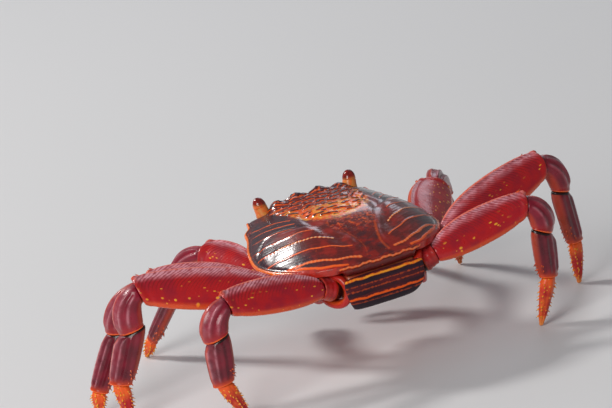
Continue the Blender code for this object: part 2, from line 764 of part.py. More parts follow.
def make_feeler(carapace, side_name, side):
    root = Vector((side * FEELER_ROOT[0], *FEELER_ROOT[1:]))
    reach = Vector((side * FEELER_REACH[0], *FEELER_REACH[1:]))
    forward = Vector((0.0, -1.0, 0.0))
    cut_socket(carapace, root, root + forward * FEELER_SOCKET, FEELER_WIDTH)
    rings = []
    for k in range(FEELER_STEPS + 1):
        t = k / FEELER_STEPS
        centre = root + Vector((reach.x * t * t, reach.y * t, reach.z * t * t))
        way = Vector((2 * reach.x * t, reach.y, 2 * reach.z * t)).normalized()
        across = way.cross(Vector((0.0, 0.0, 1.0))).normalized()
        radius = FEELER_WIDTH / 2 * (1.0 - FEELER_TAPER * t)
        rings.append(around(centre, across, way.cross(across), radius, 6))
    solid(f"feeler_{side_name}", "feeler", bridged(rings))


def make_mouth_plate(side_name, side):
    plate = MOUTH_PLATE
    near = BREAST_FRONT - GAP
    rings = []
    for share in MOUTH_RINGS:
        height = plate["top"] + (plate["bottom"] - plate["top"]) * share
        outer = plate["outer"] * (1.0 - 0.4 * share**2)
        inner = plate["inner"]
        deep = plate["thickness"] * (1.0 - 0.35 * share)
        rings.append([(side * inner, near, height), (side * outer, near, height),
                      (side * outer, near - deep * 0.6, height),
                      (side * (outer + inner) / 2, near - deep, height),
                      (side * inner, near - deep * 0.9, height)])
    return solid(f"mouth_plate_{side_name}", "breast", bridged(rings))


def centre_on_floor():
    """Moves everything so that the middle of the whole lies over the scene's origin."""
    objects = list(bpy.context.scene.collection.objects)
    corners = [vert.co for obj in objects for vert in obj.data.vertices]
    middle = Vector((
        (min(c.x for c in corners) + max(c.x for c in corners)) / 2,
        (min(c.y for c in corners) + max(c.y for c in corners)) / 2,
        min(c.z for c in corners),
    ))
    for obj in objects:
        for vert in obj.data.vertices:
            vert.co -= middle


def main():
    clear_scene()
    carapace = make_carapace()
    make_breast()
    make_tail_flap()
    for side_name, side in SIDES.items():
        for name in LEGS:
            make_leg(name, side_name)
        make_claw(side_name, side)
        make_eye(carapace, side_name, side)
        make_feeler(carapace, side_name, side)
        make_mouth_plate(side_name, side)
    centre_on_floor()


main()
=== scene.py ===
"""A life-size sally lightfoot crab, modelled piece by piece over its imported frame.

The crab faces -Y, its left side is +X and the floor is z = 0. Shape tables are in millimetres,
measured from the middle of the carapace at the level of its rear margin; place() turns points
given that way into the scene's metres.
"""

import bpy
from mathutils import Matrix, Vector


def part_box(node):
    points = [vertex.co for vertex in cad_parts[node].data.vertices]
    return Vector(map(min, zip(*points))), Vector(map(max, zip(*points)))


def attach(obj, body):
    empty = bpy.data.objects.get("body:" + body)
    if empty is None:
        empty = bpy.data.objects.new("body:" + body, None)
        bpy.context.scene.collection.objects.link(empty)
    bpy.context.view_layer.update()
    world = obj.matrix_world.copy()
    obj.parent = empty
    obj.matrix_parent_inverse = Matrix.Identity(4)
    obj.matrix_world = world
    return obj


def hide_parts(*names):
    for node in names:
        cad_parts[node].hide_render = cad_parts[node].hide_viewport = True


bl_info = {
    "name": "Sally lightfoot crab",
    "version": (1, 0, 0),
    "blender": (4, 5, 0),
    "location": "View3D > Sidebar > Crab",
    "description": "Models a life-size sally lightfoot crab and its studio stage",
    "category": "Add Mesh",
}

import math
import random
from types import SimpleNamespace

import bmesh
import bpy
import numpy as np
from mathutils import Vector

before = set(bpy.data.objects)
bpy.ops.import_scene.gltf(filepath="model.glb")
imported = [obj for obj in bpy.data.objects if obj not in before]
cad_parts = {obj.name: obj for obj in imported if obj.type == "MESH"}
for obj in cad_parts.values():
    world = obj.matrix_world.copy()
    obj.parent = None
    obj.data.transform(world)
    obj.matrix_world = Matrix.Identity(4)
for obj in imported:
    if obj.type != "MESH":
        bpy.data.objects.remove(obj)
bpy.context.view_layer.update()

MM = 0.001
GAP = 0.3
BODY_HEIGHT = 46.0
REAR_REACH = 33.8
SIDES = {"left": 1, "right": -1}
shell_low, shell_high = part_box("carapace")
BODY = Vector(((shell_low.x + shell_high.x) / 2, shell_high.y - REAR_REACH * MM, BODY_HEIGHT * MM))
FAR = 9.0  # in a distance field: too far off for the mark to show

# ---------------------------------------------------------------- shape tables
# Carapace: half of its rim from the middle of the front round to the middle of the rear
HALF_RIM = (
    (0.0, -31.0, 2.0), (4.5, -31.8, 1.6), (9.0, -31.4, 2.0), (13.5, -31.8, 2.2),
    (17.0, -30.6, 3.4), (21.0, -28.6, 3.2), (24.0, -30.2, 5.8), (25.4, -26.8, 4.6),
    (28.0, -24.6, 3.6), (29.4, -20.4, 2.1), (33.2, -12.0, 0.3), (35.5, -3.0, -1.8),
    (35.3, 6.0, -2.3), (32.6, 15.0, -2.0), (27.6, 23.6, -1.3), (21.4, 29.6, -0.4),
    (15.6, 32.6, 0.0), (8.0, 33.6, 0.2), (0.0, 33.8, 0.2),
)
CROWN = (0.0, -4.0, 12.4)
# How the top falls away from the crown: by how much, over what reach and how suddenly
SIDE_FALL = (13.2, 36.0, 2.4)
REAR_FALL = (12.2, 37.8, 2.2)
FRONT_FALL = (1.2, 24.0, 2.0)
# How late the top turns down to the rim, at the sides and at the front
EDGE_POWER = (8.0, 20.0)
# The wall under the rim: its size against the rim, and how far down it is
WALL = ((1.0, 0.0), (0.985, -0.9), (0.9, -2.6), (0.8, -4.2))
REAR_WALL = 0.85
CARAPACE_TURNS = 470
CARAPACE_RINGS = (150, 30, 20)  # over the top, down the wall and across the underside
STRIPES = 4.0  # faint dark stripes from one raised line to the next
LOBES = {"places": (4.6, 13.2), "back": -26.6, "spread": (3.1, 3.0), "height": 2.2}
SIDE_GROOVE = {"off": 10.5, "swing": 2.5, "middle": 4.0, "pitch": 9.0, "width": 2.6, "depth": 0.9}
NECK_GROOVE = {"back": 6.0, "spread": (13.0, 2.8), "depth": 0.3}
GILL_DOME = {"place": (19.0, 12.0), "spread": (8.0, 10.0), "height": 0.8}

# Raised lines of the left half of the carapace, front to rear: their points, how strongly
# they are beaded and how wide they are against the line width
SHELL_LINES = (
    (((27.4, -23.4), (25.0, -18.6), (21.0, -12.4), (17.0, -5.6)), 0.0, 0.7),
    (((29.6, -19.4), (26.2, -14.0), (21.2, -6.6), (17.4, -0.6)), 0.0, 0.75),
    (((31.8, -15.0), (28.6, -10.4), (24.4, -5.4), (19.4, 1.6)), 0.0, 0.7),
    (((34.2, -9.4), (29.8, -2.6), (23.3, 4.6), (18.9, 8.2), (15.0, 10.8)), 0.1, 0.75),
    (((35.6, -3.4), (32.0, 1.4), (27.2, 6.6), (22.8, 10.8), (17.1, 15.2), (11.3, 18.9)), 1.0, 0.9),
    (((35.5, 4.6), (31.2, 9.6), (25.0, 15.4), (20.4, 18.6), (13.6, 23.0), (7.4, 26.4)), 0.1, 0.85),
    (((33.6, 12.6), (29.4, 17.8), (23.7, 22.3), (18.0, 27.0), (12.5, 30.0), (6.8, 31.6)), 0.35, 1.35),
    (((30.6, 16.9), (26.6, 22.2), (22.0, 27.2), (17.6, 30.7), (13.0, 32.6)), 0.0, 1.5),
)
# The faint curved groove behind the middle, and the front and inner border of a dome
GROOVE_LINE = ((6.4, 18.0), (4.2, 24.1), (3.4, 28.6), (4.4, 32.0))
DOME_EDGE = (
    (35.4, 1.2), (31.4, -3.4), (27.4, -5.8), (24.1, -3.1), (20.5, 1.7), (16.9, 5.1), (12.9, 7.8),
    (10.2, 13.1), (6.8, 19.1), (4.9, 24.1), (4.9, 28.6), (7.8, 32.6),
)
# Rear edge of the golden patch: its y in the middle, and its bend with x squared and x to the fourth
YELLOW_BAND = (10.0, -0.028, -0.00018)

# Where claws and legs leave the breast: a point, and the way they face in degrees
SOCKETS = {
    "claw": (15.0, -17.5, -11.0, -48.0),
    "leg1": (20.0, -7.0, -10.6, -22.0),
    "leg2": (21.6, 5.0, -10.4, -4.0),
    "leg3": (20.2, 16.6, -10.2, 8.0),
    "leg4": (16.0, 25.8, -9.8, 26.0),
}
# Raised edges of the body round the leg roots: radius, thickness and how far out they stand
COLLARS = {"leg1": (5.0, 1.0, 0.4), "leg2": (5.2, 1.0, 0.4), "leg3": (5.3, 1.1, 0.5),
           "leg4": (5.9, 1.6, 1.2)}
BREAST_FRONT = -23.6
BREAST_REAR = 31.6
BREAST_MIDDLE = 4.0
# The breast from the middle of its top round to the middle below: size and height at each share
BREAST_SECTION = (
    (0.0, 0.0, -4.6), (0.2, 0.9, -4.55), (0.26, 0.98, -4.7), (0.3, 1.0, -5.4), (0.55, 1.0, -11.8),
    (0.62, 0.99, -13.0), (0.7, 0.93, -14.4), (0.78, 0.82, -15.8), (0.86, 0.62, -16.5),
    (1.0, 0.0, -16.6),
)
BREAST_SEAMS = (-13.0, -1.2, 10.6, 21.4)
# The tail flap along its middle: y, z and half its width
TAIL_PATH = (
    (33.2, -4.8, 15.6), (33.3, -8.0, 16.0), (33.3, -12.5, 15.4), (30.3, -17.1, 13.0),
    (22.0, -18.3, 9.6), (10.0, -18.3, 6.6), (-1.0, -18.2, 4.2), (-7.0, -18.1, 1.8),
)
TAIL_THICKNESS = 2.4
TAIL_JOINTS = (0.1, 0.2, 0.3, 0.44, 0.58, 0.76)
# Bright and faint lines across the flap's upper part, by their distance from its root
TAIL_LINES = (1.0, 8.2)
TAIL_FAINT_LINES = (3.6, 5.4, 9.9)

# Walking legs: the end of the base, lengths of merus, carpus and propodus, widths of merus to
# dactyl, and how far out along it the merus is fullest
LEGS = {
    "leg1": {"start": (27.0, -14.6, -9.6), "lengths": (28.5, 21.5, 27.0),
             "widths": (14.6, 9.4, 7.8, 5.2), "fullest": 0.6},
    "leg2": {"start": (33.0, 3.2, -8.2), "lengths": (43.8, 21.0, 23.6),
             "widths": (17.4, 10.6, 9.2, 5.6), "fullest": 0.75},
    "leg3": {"start": (33.6, 14.8, -7.2), "lengths": (52.2, 14.8, 20.8),
             "widths": (16.8, 11.4, 10.8, 6.4), "fullest": 1.0},
    "leg4": {"start": (23.2, 28.0, -7.0), "lengths": (38.8, 12.4, 17.6),
             "widths": (14.2, 10.8, 10.4, 6.2), "fullest": 1.0},
}
# How each leg is held: heading, lean, and the slopes of merus to dactyl, in degrees
STANCE = {
    "left": {
        "leg1": (-62.0, 54.0, (13.0, -42.0, -52.0, -60.0)),
        "leg2": (-21.0, 42.0, (10.5, -45.0, -63.0, -80.0)),
        "leg3": (-17.0, 38.0, (11.6, -70.0, -68.0, -96.0)),
        "leg4": (3.0, 30.0, (8.2, -61.0, -88.0, -116.0)),
    },
    "right": {
        "leg1": (-66.0, 50.0, (-3.0, -20.0, -44.0, -62.0)),
        "leg2": (-61.0, 62.0, (6.4, -26.0, -60.0, -74.0)),
        "leg3": (-17.0, 38.0, (12.0, -60.0, -82.0, -96.0)),
        "leg4": (3.0, 30.0, (11.5, -68.0, -92.0, -110.0)),
    },
}
# Strength of the painted sheen along the upper edges, where a leg's differs from 1
PAINTED_SHEEN = {"left": {"leg4": 1.15, "leg3": 1.25}, "right": {"leg1": 0.1, "leg2": 0.1}}
LEAN_SHARES = (0.5, 1.0, 0.6, 0.6, 0.6)
# Turns of the joint faces at both ends of the carpus in degrees, and how far it bows
KNEE_TURN = 12.0
WRIST_TURN = -38.0
CARPUS_BOW = 1.12
BASE_WIDTH = 9.2
# Outlines of segments: how far along, width and thickness against the full width
BASE_OUTLINE = (
    (0.0, 0.86, 0.78), (0.26, 0.8, 0.72), (0.36, 1.0, 0.92), (0.65, 0.96, 0.86), (1.0, 0.84, 0.72),
)
MERUS_OUTLINE = (
    (0.0, 0.5, 0.4), (0.05, 0.62, 0.43), (0.15, 0.8, 0.44), (0.32, 0.96, 0.42),
    (0.52, 1.0, 0.4), (0.7, 0.95, 0.38), (0.84, 0.85, 0.38), (0.94, 0.73, 0.4), (1.0, 0.6, 0.42),
)
CARPUS_OUTLINE = (
    (0.0, 0.66, 0.52), (0.16, 0.76, 0.58), (0.42, 0.92, 0.63), (0.7, 1.0, 0.64),
    (0.9, 0.97, 0.62), (1.0, 0.9, 0.58),
)
PROPODUS_OUTLINE = (
    (0.0, 0.84, 0.56), (0.12, 0.96, 0.62), (0.36, 1.0, 0.6), (0.64, 0.96, 0.58),
    (0.88, 0.86, 0.56), (1.0, 0.76, 0.52),
)
DACTYL_OUTLINE = (
    (0.0, 0.9, 0.74), (0.16, 1.0, 0.8), (0.4, 0.86, 0.72), (0.64, 0.66, 0.58),
    (0.84, 0.46, 0.42), (1.0, 0.26, 0.26),
)
EDGE_SHARPENING = 0.35
SLANT_REACH = 0.42
# Keels along the lower segments: where across, and how high against the crest
CARPUS_KEELS = ((0.36, 1.5), (-0.26, 1.2), (0.86, 0.9))
PROPODUS_KEELS = ((0.8, 1.1), (0.3, 0.9), (-0.25, 0.8), (-0.78, 0.8))
PROPODUS_GROOVES = (0.55, 0.02, -0.5)
DACTYL_GROOVES = (0.5, -0.5)
THIN_RIMS = {"merus": 0.7, "base": 0.5}
SEGMENTS = (
    # part, slot, outline, sides, stations, rounding, bulge, lip, socket, knob
    ("base", "joint", BASE_OUTLINE, 12, 6, 2, 0.0, 0.4, 1.2, 0.0),
    ("merus", "leg", MERUS_OUTLINE, 14, 22, 3, 0.16, 0.45, 2.0, 1.0),
    ("carpus", "joint", CARPUS_OUTLINE, 14, 10, 3, 0.05, 0.42, 1.8, 1.3),
    ("propodus", "leg", PROPODUS_OUTLINE, 14, 11, 3, 0.05, 0.4, 1.4, 1.2),
    ("dactyl", "foot", DACTYL_OUTLINE, 12, 9, 2, 0.0, 0.4, 0.0, 1.0),
)
# Rows of spines: places along, angles round, lean in degrees and width
SPINE_ROWS = {
    "dactyl": (np.linspace(0.12, 0.78, 8), (25.0, 155.0, 205.0, 335.0, 270.0), 34.0, 0.34),
    "propodus": (np.linspace(0.66, 0.97, 5), (150.0, 180.0, 210.0), 44.0, 0.3),
    "merus": ((0.93, 0.965), (2.0,), 52.0, 0.42),
}
SPINE_SINK = 0.25

CLAW_POINTS = {
    "arm": (24.6, -32.4, -11.6), "wrist": (22.4, -42.0, -14.6),
    "palm": (13.4, -49.4, -22.4), "tip": (6.6, -52.4, -28.8),
}
CLAW_WIDTHS = {"arm": 9.6, "wrist": 10.4, "palm": 13.0, "finger": 5.6}
ARM_OUTLINE = (
    (0.0, 0.76, 0.66), (0.25, 0.94, 0.74), (0.6, 1.0, 0.74), (0.88, 0.94, 0.72), (1.0, 0.84, 0.68),
)
WRIST_OUTLINE = ((0.0, 0.72, 0.66), (0.3, 0.98, 0.86), (0.7, 1.0, 0.84), (1.0, 0.72, 0.66))
PALM_OUTLINE = (
    (0.0, 0.6, 0.46), (0.22, 0.86, 0.6), (0.55, 1.0, 0.64), (0.84, 1.0, 0.6), (1.0, 0.94, 0.52),
)
# How far along, width against the full width, and how far the finger bows
FINGER_OUTLINE = (
    (0.0, 0.9, 0.0), (0.25, 1.0, 0.9), (0.55, 0.8, 1.3), (0.82, 0.66, 0.9), (1.0, 0.5, 0.1),
)
ARM_BROAD = (0.55, 0.0, 0.85)
PALM_BROAD = (0.75, -0.66, 0.0)
FINGER_SPREAD = 3.6
FINGER_CLOSING = 1.5
FINGER_ROOT = 2.0

EYE_ROOT = (17.2, -27.6, 4.6)
EYE_TIP = (19.0, -29.8, 14.6)
STALK_WIDTH = 5.0
# Shares of the way from root to tip, and widths against the stalk's
STALK_OUTLINE = (
    (0.0, 1.1), (0.06, 1.2), (0.16, 1.2), (0.3, 1.12), (0.45, 1.02), (0.56, 0.99), (0.634, 0.98),
    (0.638, 0.96), (0.639, 0.6),
)
CORNEA_OUTLINE = (
    (0.641, 0.6), (0.642, 0.96), (0.647, 0.98), (0.72, 0.97), (0.8, 0.9), (0.87, 0.78), (0.93, 0.6),
    (0.975, 0.36), (0.994, 0.14),
)
ROUNDING_LOSS = 1.06  # how much wider a cage is made, because rounding draws it in
FEELER_ROOT = (12.4, -30.2, 1.4)
FEELER_REACH = (3.4, -6.0, -3.2)
FEELER_WIDTH = 1.7
FEELER_LENGTH = 7.4
FEELER_RINGS = 15
MOUTH_PLATE = {"inner": 0.4, "outer": 8.2, "top": -4.8, "bottom": -15.4, "thickness": 2.6}
# The camera's picture: pixels to the millimetre, where the body's middle stands in it, its size
# in pixels, and the sensor's width
VIEW = {"scale": 2.728, "middle": (342.5, 237.1), "size": (612, 408), "sensor": 36.0}


# ---------------------------------------------------------------- settings
def length(name, about, value):
    return bpy.props.FloatProperty(name=name, description=about, default=value * MM, min=0.0,
                                   unit="LENGTH", precision=5)


def colour(name, about, value):
    return bpy.props.FloatVectorProperty(name=name, description=about, default=value, size=3,
                                         min=0.0, max=1.0, subtype="COLOR")


def lamp_power(name, about, value):
    return bpy.props.FloatProperty(name=name, description=about, default=value, min=0.0,
                                   unit="POWER")


def turn(name, about, degrees):
    return bpy.props.FloatProperty(name=name, description=about, default=math.radians(degrees),
                                   subtype="ANGLE")


class CrabShellSettings(bpy.types.PropertyGroup):
    line_height: length("Line height", "How far the raised lines of the carapace stand up", 0.14)
    line_width: length("Line width", "Width of the raised lines of the carapace", 0.5)
    bead_spacing: length("Bead spacing", "Distance between the beads on the lines", 1.5)
    rim_width: length("Rim width", "Width of the bright border round the carapace", 0.75)
    scale_height: length("Scale height", "How far the short ridges behind the eyes stand up", 0.32)
    scale_spacing: length("Scale spacing", "Distance between the rows of short ridges", 2.2)


class CrabLegSettings(bpy.types.PropertyGroup):
    rib_spacing: length("Rib spacing", "Distance between the fine ribs across the upper legs", 1.35)
    rib_depth: length("Rib depth", "Depth of the fine ribs across the upper legs", 0.06)
    crest_height: length("Crest height", "How far the lines along the upper edges stand up", 0.28)
    spine_length: length("Spine length", "Length of the spines on the feet", 1.15)
    spot_spacing: length("Spot spacing", "Distance between the yellow spots of the upper legs", 2.7)
    rim_width: length("Rim width", "Width of the bright border at each joint", 0.45)


class CrabColours(bpy.types.PropertyGroup):
    slate: colour("Slate", "Dark ground of the carapace's sides", (0.021, 0.0155, 0.026))
    maroon: colour("Maroon", "Ground of the carapace's domes", (0.125, 0.0115, 0.0095))
    red: colour("Red", "Rear corners and middle of the carapace", (0.47, 0.019, 0.008))
    orange: colour("Orange", "Lines and borders", (0.92, 0.118, 0.012))
    yellow: colour("Yellow", "Front of the carapace and beads", (0.94, 0.4, 0.03))
    leg_red: colour("Leg red", "Ground of the upper legs", (0.5, 0.0105, 0.014))
    leg_crimson: colour("Leg crimson", "Ground of the lower legs", (0.27, 0.007, 0.026))
    leg_wine: colour("Leg wine", "Dark patches of the lower legs", (0.12, 0.004, 0.014))
    # Painted sheen: pale pink in place of reflected light on the legs' upper edges and the domes'
    # borders
    painted_sheen_pink: colour("Leg pink", "Pale bloom along the upper edges", (0.76, 0.34, 0.4))
    foot: colour("Foot orange", "Feet", (0.78, 0.12, 0.012))
    stalk: colour("Eyestalk", "Eyestalks", (0.78, 0.27, 0.06))
    cornea: colour("Eye", "Surface of the eyes", (0.16, 0.008, 0.006))
    tip: colour("Claw tip", "Ends of the claw fingers", (0.76, 0.58, 0.46))
    # Soft skin; near black, as it also stands for the painted shade in the joint gaps
    membrane: colour("Membrane", "Soft skin inside the joints", (0.018, 0.006, 0.006))
    breast: colour("Breast", "Breast and mouth plates", (0.46, 0.11, 0.045))


class CrabStageSettings(bpy.types.PropertyGroup):
    floor: colour("Floor", "Pale floor", (0.73, 0.73, 0.74))
    key_power: lamp_power("Key light", "Power of the main soft light", 9.0)
    fill_power: lamp_power("Fill light", "Power of the light by the camera", 9.0)
    back_power: lamp_power("Back light", "Power of the light behind the crab", 0.85)
    sky: bpy.props.FloatProperty(name="Room light", description="Strength of the even room light",
                                 default=0.2, min=0.0)
    distance: length("Camera distance", "From the middle of the view to the camera", 4000.0)
    yaw: turn("Camera turn", "Turn of the camera about the crab", 21.6)
    elevation: turn("Camera height", "Slope of the view", 17.1)
    roll: turn("Camera roll", "Tilt of the view", -10.7)


# ---------------------------------------------------------------- numbers and curves
def smooth_step(value):
    value = np.clip(value, 0.0, 1.0)
    return value * value * (3.0 - 2.0 * value)


def hump(value, width):
    """A soft hump of height 1 about zero."""
    return np.exp(-((value / width) ** 2))


def eased(table, places):
    """Smooth values at the places, from rows that start with their own place."""
    rows = np.array(table, float)
    known, values = rows[:, 0], rows[:, 1:]
    places = np.clip(np.atleast_1d(places), known[0], known[-1])
    slopes = np.gradient(values, known, axis=0)
    i = np.clip(np.searchsorted(known, places, side="right") - 1, 0, len(known) - 2)
    reach = (known[i + 1] - known[i])[:, None]
    t = (places - known[i])[:, None] / reach
    return (values[i] * (1 + 2 * t) * (1 - t) ** 2 + slopes[i] * reach * t * (1 - t) ** 2
            + values[i + 1] * t * t * (3 - 2 * t) + slopes[i + 1] * reach * t * t * (t - 1))


def curve_through(points, steps, closed=False):
    """Points of a smooth curve through the given ones, with steps to each span."""
    points = np.array(points, float)
    count = len(points)
    spans = count if closed else count - 1
    made = []
    for i in range(spans):
        picks = [(i + k) % count if closed else min(max(i + k, 0), count - 1) for k in (-1, 0, 1, 2)]
        a, b, c, d = points[picks]
        for k in range(steps):
            t = k / steps
            made.append(0.5 * (2 * b + (c - a) * t + (2 * a - 5 * b + 4 * c - d) * t**2
                               + (3 * b - a - 3 * c + d) * t**3))
    if not closed:
        made.append(points[-1])
    return np.array(made)


def facing(heading, side=1):
    """A level way at the heading, in degrees from the crab's own side towards its rear."""
    angle = math.radians(heading)
    return Vector((side * math.cos(angle), math.sin(angle), 0.0))


def mirrored(point, side):
    """A point of the left side, on the side asked for."""
    return Vector((side * point[0], *point[1:]))


# ---------------------------------------------------------------- bench work
def at_rest():
    """Back to object mode, with nothing selected."""
    if bpy.context.mode != "OBJECT":
        bpy.ops.object.mode_set(mode="OBJECT")
    bpy.ops.object.select_all(action="DESELECT")


def grow_tube(name, sides, stations):
    """A tube along +Z, from a disc whose end is extruded and resized to each station.

    A station is its height, its width along X, its thickness along Y and its middle's X."""
    at_rest()
    height, wide, thick, middle = stations[0]
    bpy.ops.mesh.primitive_circle_add(vertices=sides, radius=0.5, fill_type="NGON",
                                      enter_editmode=True, location=(0.0, 0.0, 0.0))
    obj = bpy.context.object
    obj.name = obj.data.name = name
    bpy.ops.mesh.select_mode(type="FACE")
    bpy.ops.mesh.select_all(action="SELECT")
    bpy.ops.transform.resize(value=(wide, thick, 1.0), center_override=(0.0, 0.0, 0.0))
    bpy.ops.transform.translate(value=(middle, 0.0, height))
    for new_height, new_wide, new_thick, new_middle in stations[1:]:
        extrude((new_middle - middle, 0.0, new_height - height))
        bpy.ops.transform.resize(value=(new_wide / wide, new_thick / thick, 1.0),
                                 center_override=(new_middle, 0.0, new_height))
        height, wide, thick, middle = new_height, new_wide, new_thick, new_middle
    return obj


def extrude(move):
    bpy.ops.mesh.extrude_region_move(TRANSFORM_OT_translate={"value": move})


def shrink(size, middle):
    bpy.ops.transform.resize(value=(size, size, 1.0), center_override=middle)


def pick_faces(obj, wanted):
    """Selects the faces for which wanted is true, and nothing else."""
    bpy.ops.mesh.select_all(action="DESELECT")
    shape = bmesh.from_edit_mesh(obj.data)
    for face in shape.faces:
        face.select_set(wanted(face))
    bmesh.update_edit_mesh(obj.data)


def sink_socket(middle, height, lip, depth):
    """Sinks the selected end face, and leaves a lip round it."""
    bpy.ops.mesh.inset(thickness=lip)
    extrude((0.0, 0.0, -lip * 0.6))
    extrude((0.0, 0.0, -depth))
    shrink(0.8, (middle, 0.0, height - depth))


def raise_knob(obj, middle, height, lip, reach):
    """Raises a round knuckle from the first face of a tube."""
    lowest = min(face.calc_center_median().z for face in bmesh.from_edit_mesh(obj.data).faces)
    pick_faces(obj, lambda face: face.calc_center_median().z < lowest + 1e-4)
    bpy.ops.mesh.inset(thickness=lip)
    extrude((0.0, 0.0, -reach * 0.3))
    extrude((0.0, 0.0, -reach * 0.5))
    shrink(0.8, (middle, 0.0, height))
    extrude((0.0, 0.0, -reach * 0.2))
    shrink(0.55, (middle, 0.0, height))


def face_outwards():
    """Turns the faces of the active piece outwards."""
    bpy.ops.object.mode_set(mode="EDIT")
    bpy.ops.mesh.select_all(action="SELECT")
    bpy.ops.mesh.normals_make_consistent(inside=False)
    bpy.ops.object.mode_set(mode="OBJECT")


def smooth_out(obj, levels):
    """Turns the faces of a cage outwards and rounds it."""
    face_outwards()
    rounding = obj.modifiers.new("rounding", "SUBSURF")
    rounding.levels = rounding.render_levels = levels
    bpy.ops.object.modifier_apply(modifier=rounding.name)
    bpy.ops.object.shade_smooth()


def read_points(mesh, what):
    flat = np.empty(len(mesh.vertices) * 3)
    mesh.vertices.foreach_get(what, flat)
    return flat.reshape(-1, 3)


def points_of(mesh):
    return read_points(mesh, "co")


def normals_of(mesh):
    return read_points(mesh, "normal")


def move_points(mesh, points):
    mesh.vertices.foreach_set("co", np.ascontiguousarray(points, float).ravel())
    mesh.update()


def keep_fields(mesh, **fields):
    """Keeps numbers for every point, or one for them all, for the materials to read."""
    for name, values in fields.items():
        layer = mesh.attributes.get(name) or mesh.attributes.new(name, "FLOAT", "POINT")
        values = np.broadcast_to(values, len(mesh.vertices))
        layer.data.foreach_set("value", np.ascontiguousarray(values, np.float32))


def carried(points, start, across, other, along):
    """Points of the bench with X, Y and Z turned into the three ways, from the start."""
    return points @ np.array((across, other, along)) + np.array(start)


def place(obj, points):
    """Puts points given in millimetres from the body's middle into the scene."""
    move_points(obj.data, points * MM + np.array(BODY))


def dress(obj, materials, node, body="root"):
    """Gives a finished piece its materials and its place in the frame."""
    obj.data.materials.clear()
    for material in materials:
        obj.data.materials.append(material)
    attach(obj, body)
    if node:
        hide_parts(node)


def ball_on_bench(name, turns, rings):
    """A ball to shape, the ring that each point lies on from the top down, and its angle."""
    at_rest()
    bpy.ops.mesh.primitive_uv_sphere_add(segments=turns, ring_count=rings, radius=1.0,
                                         location=(0.0, 0.0, 0.0))
    obj = bpy.context.object
    obj.name = obj.data.name = name
    ball = points_of(obj.data)
    ring = np.rint(np.arccos(np.clip(ball[:, 2], -1.0, 1.0)) / math.pi * rings)
    return obj, ring, np.arctan2(ball[:, 1], ball[:, 0])


def squared_section(points, across_power, out_power):
    """Where points of a round tube lie across and out, from -1 to 1, on a squarer section."""
    radius = np.clip(np.hypot(points[:, 0], points[:, 1]), 1e-6, None)
    fill = np.clip(radius / radius.max(), 0.0, 1.0)
    cos, sin = points[:, 0] / radius, points[:, 1] / radius
    return (np.sign(cos) * np.abs(cos) ** across_power * fill,
            np.sign(sin) * np.abs(sin) ** out_power * fill)


def spine_form():
    """Points and faces of one spine, 1 long along +Z with a foot 1 across."""
    at_rest()
    bpy.ops.mesh.primitive_cone_add(vertices=6, radius1=0.5, radius2=0.03, depth=1.0,
                                    location=(0.0, 0.0, 0.5), enter_editmode=True)
    obj = bpy.context.object
    bpy.ops.mesh.select_all(action="SELECT")
    bpy.ops.mesh.bisect(plane_co=(0.0, 0.0, 0.45), plane_no=(0.0, 0.0, 1.0))
    at_rest()
    obj.select_set(True)
    bpy.ops.object.transform_apply(location=True, rotation=True, scale=True)
    points = points_of(obj.data)
    points[:, :2] *= (1.0 + 0.35 * np.sin(math.pi * points[:, 2:]))
    faces = [tuple(face.vertices) for face in obj.data.polygons]
    bpy.data.objects.remove(obj, do_unlink=True)
    return points, faces


def add_spines(obj, spines):
    """Joins spines to a piece: each has a root, a way, a length and a width."""
    if not spines:
        return
    form, form_faces = spine_form()
    points, faces, tips = [], [], []
    for root, way, long, wide in spines:
        way = Vector(way).normalized()
        across = way.orthogonal().normalized()
        other = way.cross(across)
        start = len(points) * len(form)
        points.append(carried(form, root, across * wide, other * wide, way * long))
        faces += [tuple(start + i for i in face) for face in form_faces]
        tips.append(form[:, 2])
    mesh = bpy.data.meshes.new("spines")
    mesh.from_pydata(np.concatenate(points).tolist(), [], faces)
    keep_fields(mesh, tip=np.concatenate(tips))
    bunch = bpy.data.objects.new("spines", mesh)
    bpy.context.scene.collection.objects.link(bunch)
    keep_fields(obj.data, tip=0.0)
    join_to(obj, bunch)
    bpy.ops.object.shade_smooth_by_angle(angle=math.radians(60.0))


# ---------------------------------------------------------------- material work
class Sheet:
    """A node tree with short ways to add to it."""

    def __init__(self, tree):
        self.tree = tree

    def feed(self, socket, value):
        if isinstance(value, bpy.types.NodeSocket):
            self.tree.links.new(value, socket)
        else:
            socket.default_value = value

    def add(self, kind, feeds=None, **settings):
        node = self.tree.nodes.new(kind)
        for name, value in settings.items():
            setattr(node, name, value)
        for name, value in (feeds or {}).items():
            self.feed(node.inputs[name], value)
        return node

    def calc(self, operation, *values, clamp=False):
        node = self.add("ShaderNodeMath", operation=operation, use_clamp=clamp)
        for socket, value in zip(node.inputs, values):
            self.feed(socket, value)
        return node.outputs[0]

    def times(self, first, second):
        return self.calc("MULTIPLY", first, second)

    def plus(self, first, second):
        return self.calc("ADD", first, second)

    def step(self, value, low, high):
        """0 where value is at low, 1 where it is at high, and smooth between."""
        feeds = {"Value": value, "From Min": low, "From Max": high}
        return self.add("ShaderNodeMapRange", feeds, interpolation_type="SMOOTHSTEP").outputs[0]

    def blend(self, amount, below, above):
        node = self.add("ShaderNodeMix", data_type="RGBA")
        for i, value in ((0, amount), (6, below), (7, above)):
            self.feed(node.inputs[i], value)
        return node.outputs[2]

    def field(self, name):
        return self.add("ShaderNodeAttribute", attribute_name=name).outputs["Fac"]

    def spot(self, scale=(1.0, 1.0, 1.0)):
        """Places on the object in millimetres, stretched by the scale."""
        at = self.add("ShaderNodeTexCoord").outputs["Object"]
        stretch = tuple(1000.0 * s for s in scale)
        return self.add("ShaderNodeMapping", {"Vector": at, "Scale": stretch}).outputs[0]

    def noise(self, vector, scale, detail=3.0):
        feeds = {"Vector": vector, "Scale": scale, "Detail": detail}
        return self.add("ShaderNodeTexNoise", feeds).outputs["Fac"]


def tone(colour_value):
    return (*colour_value, 1.0)


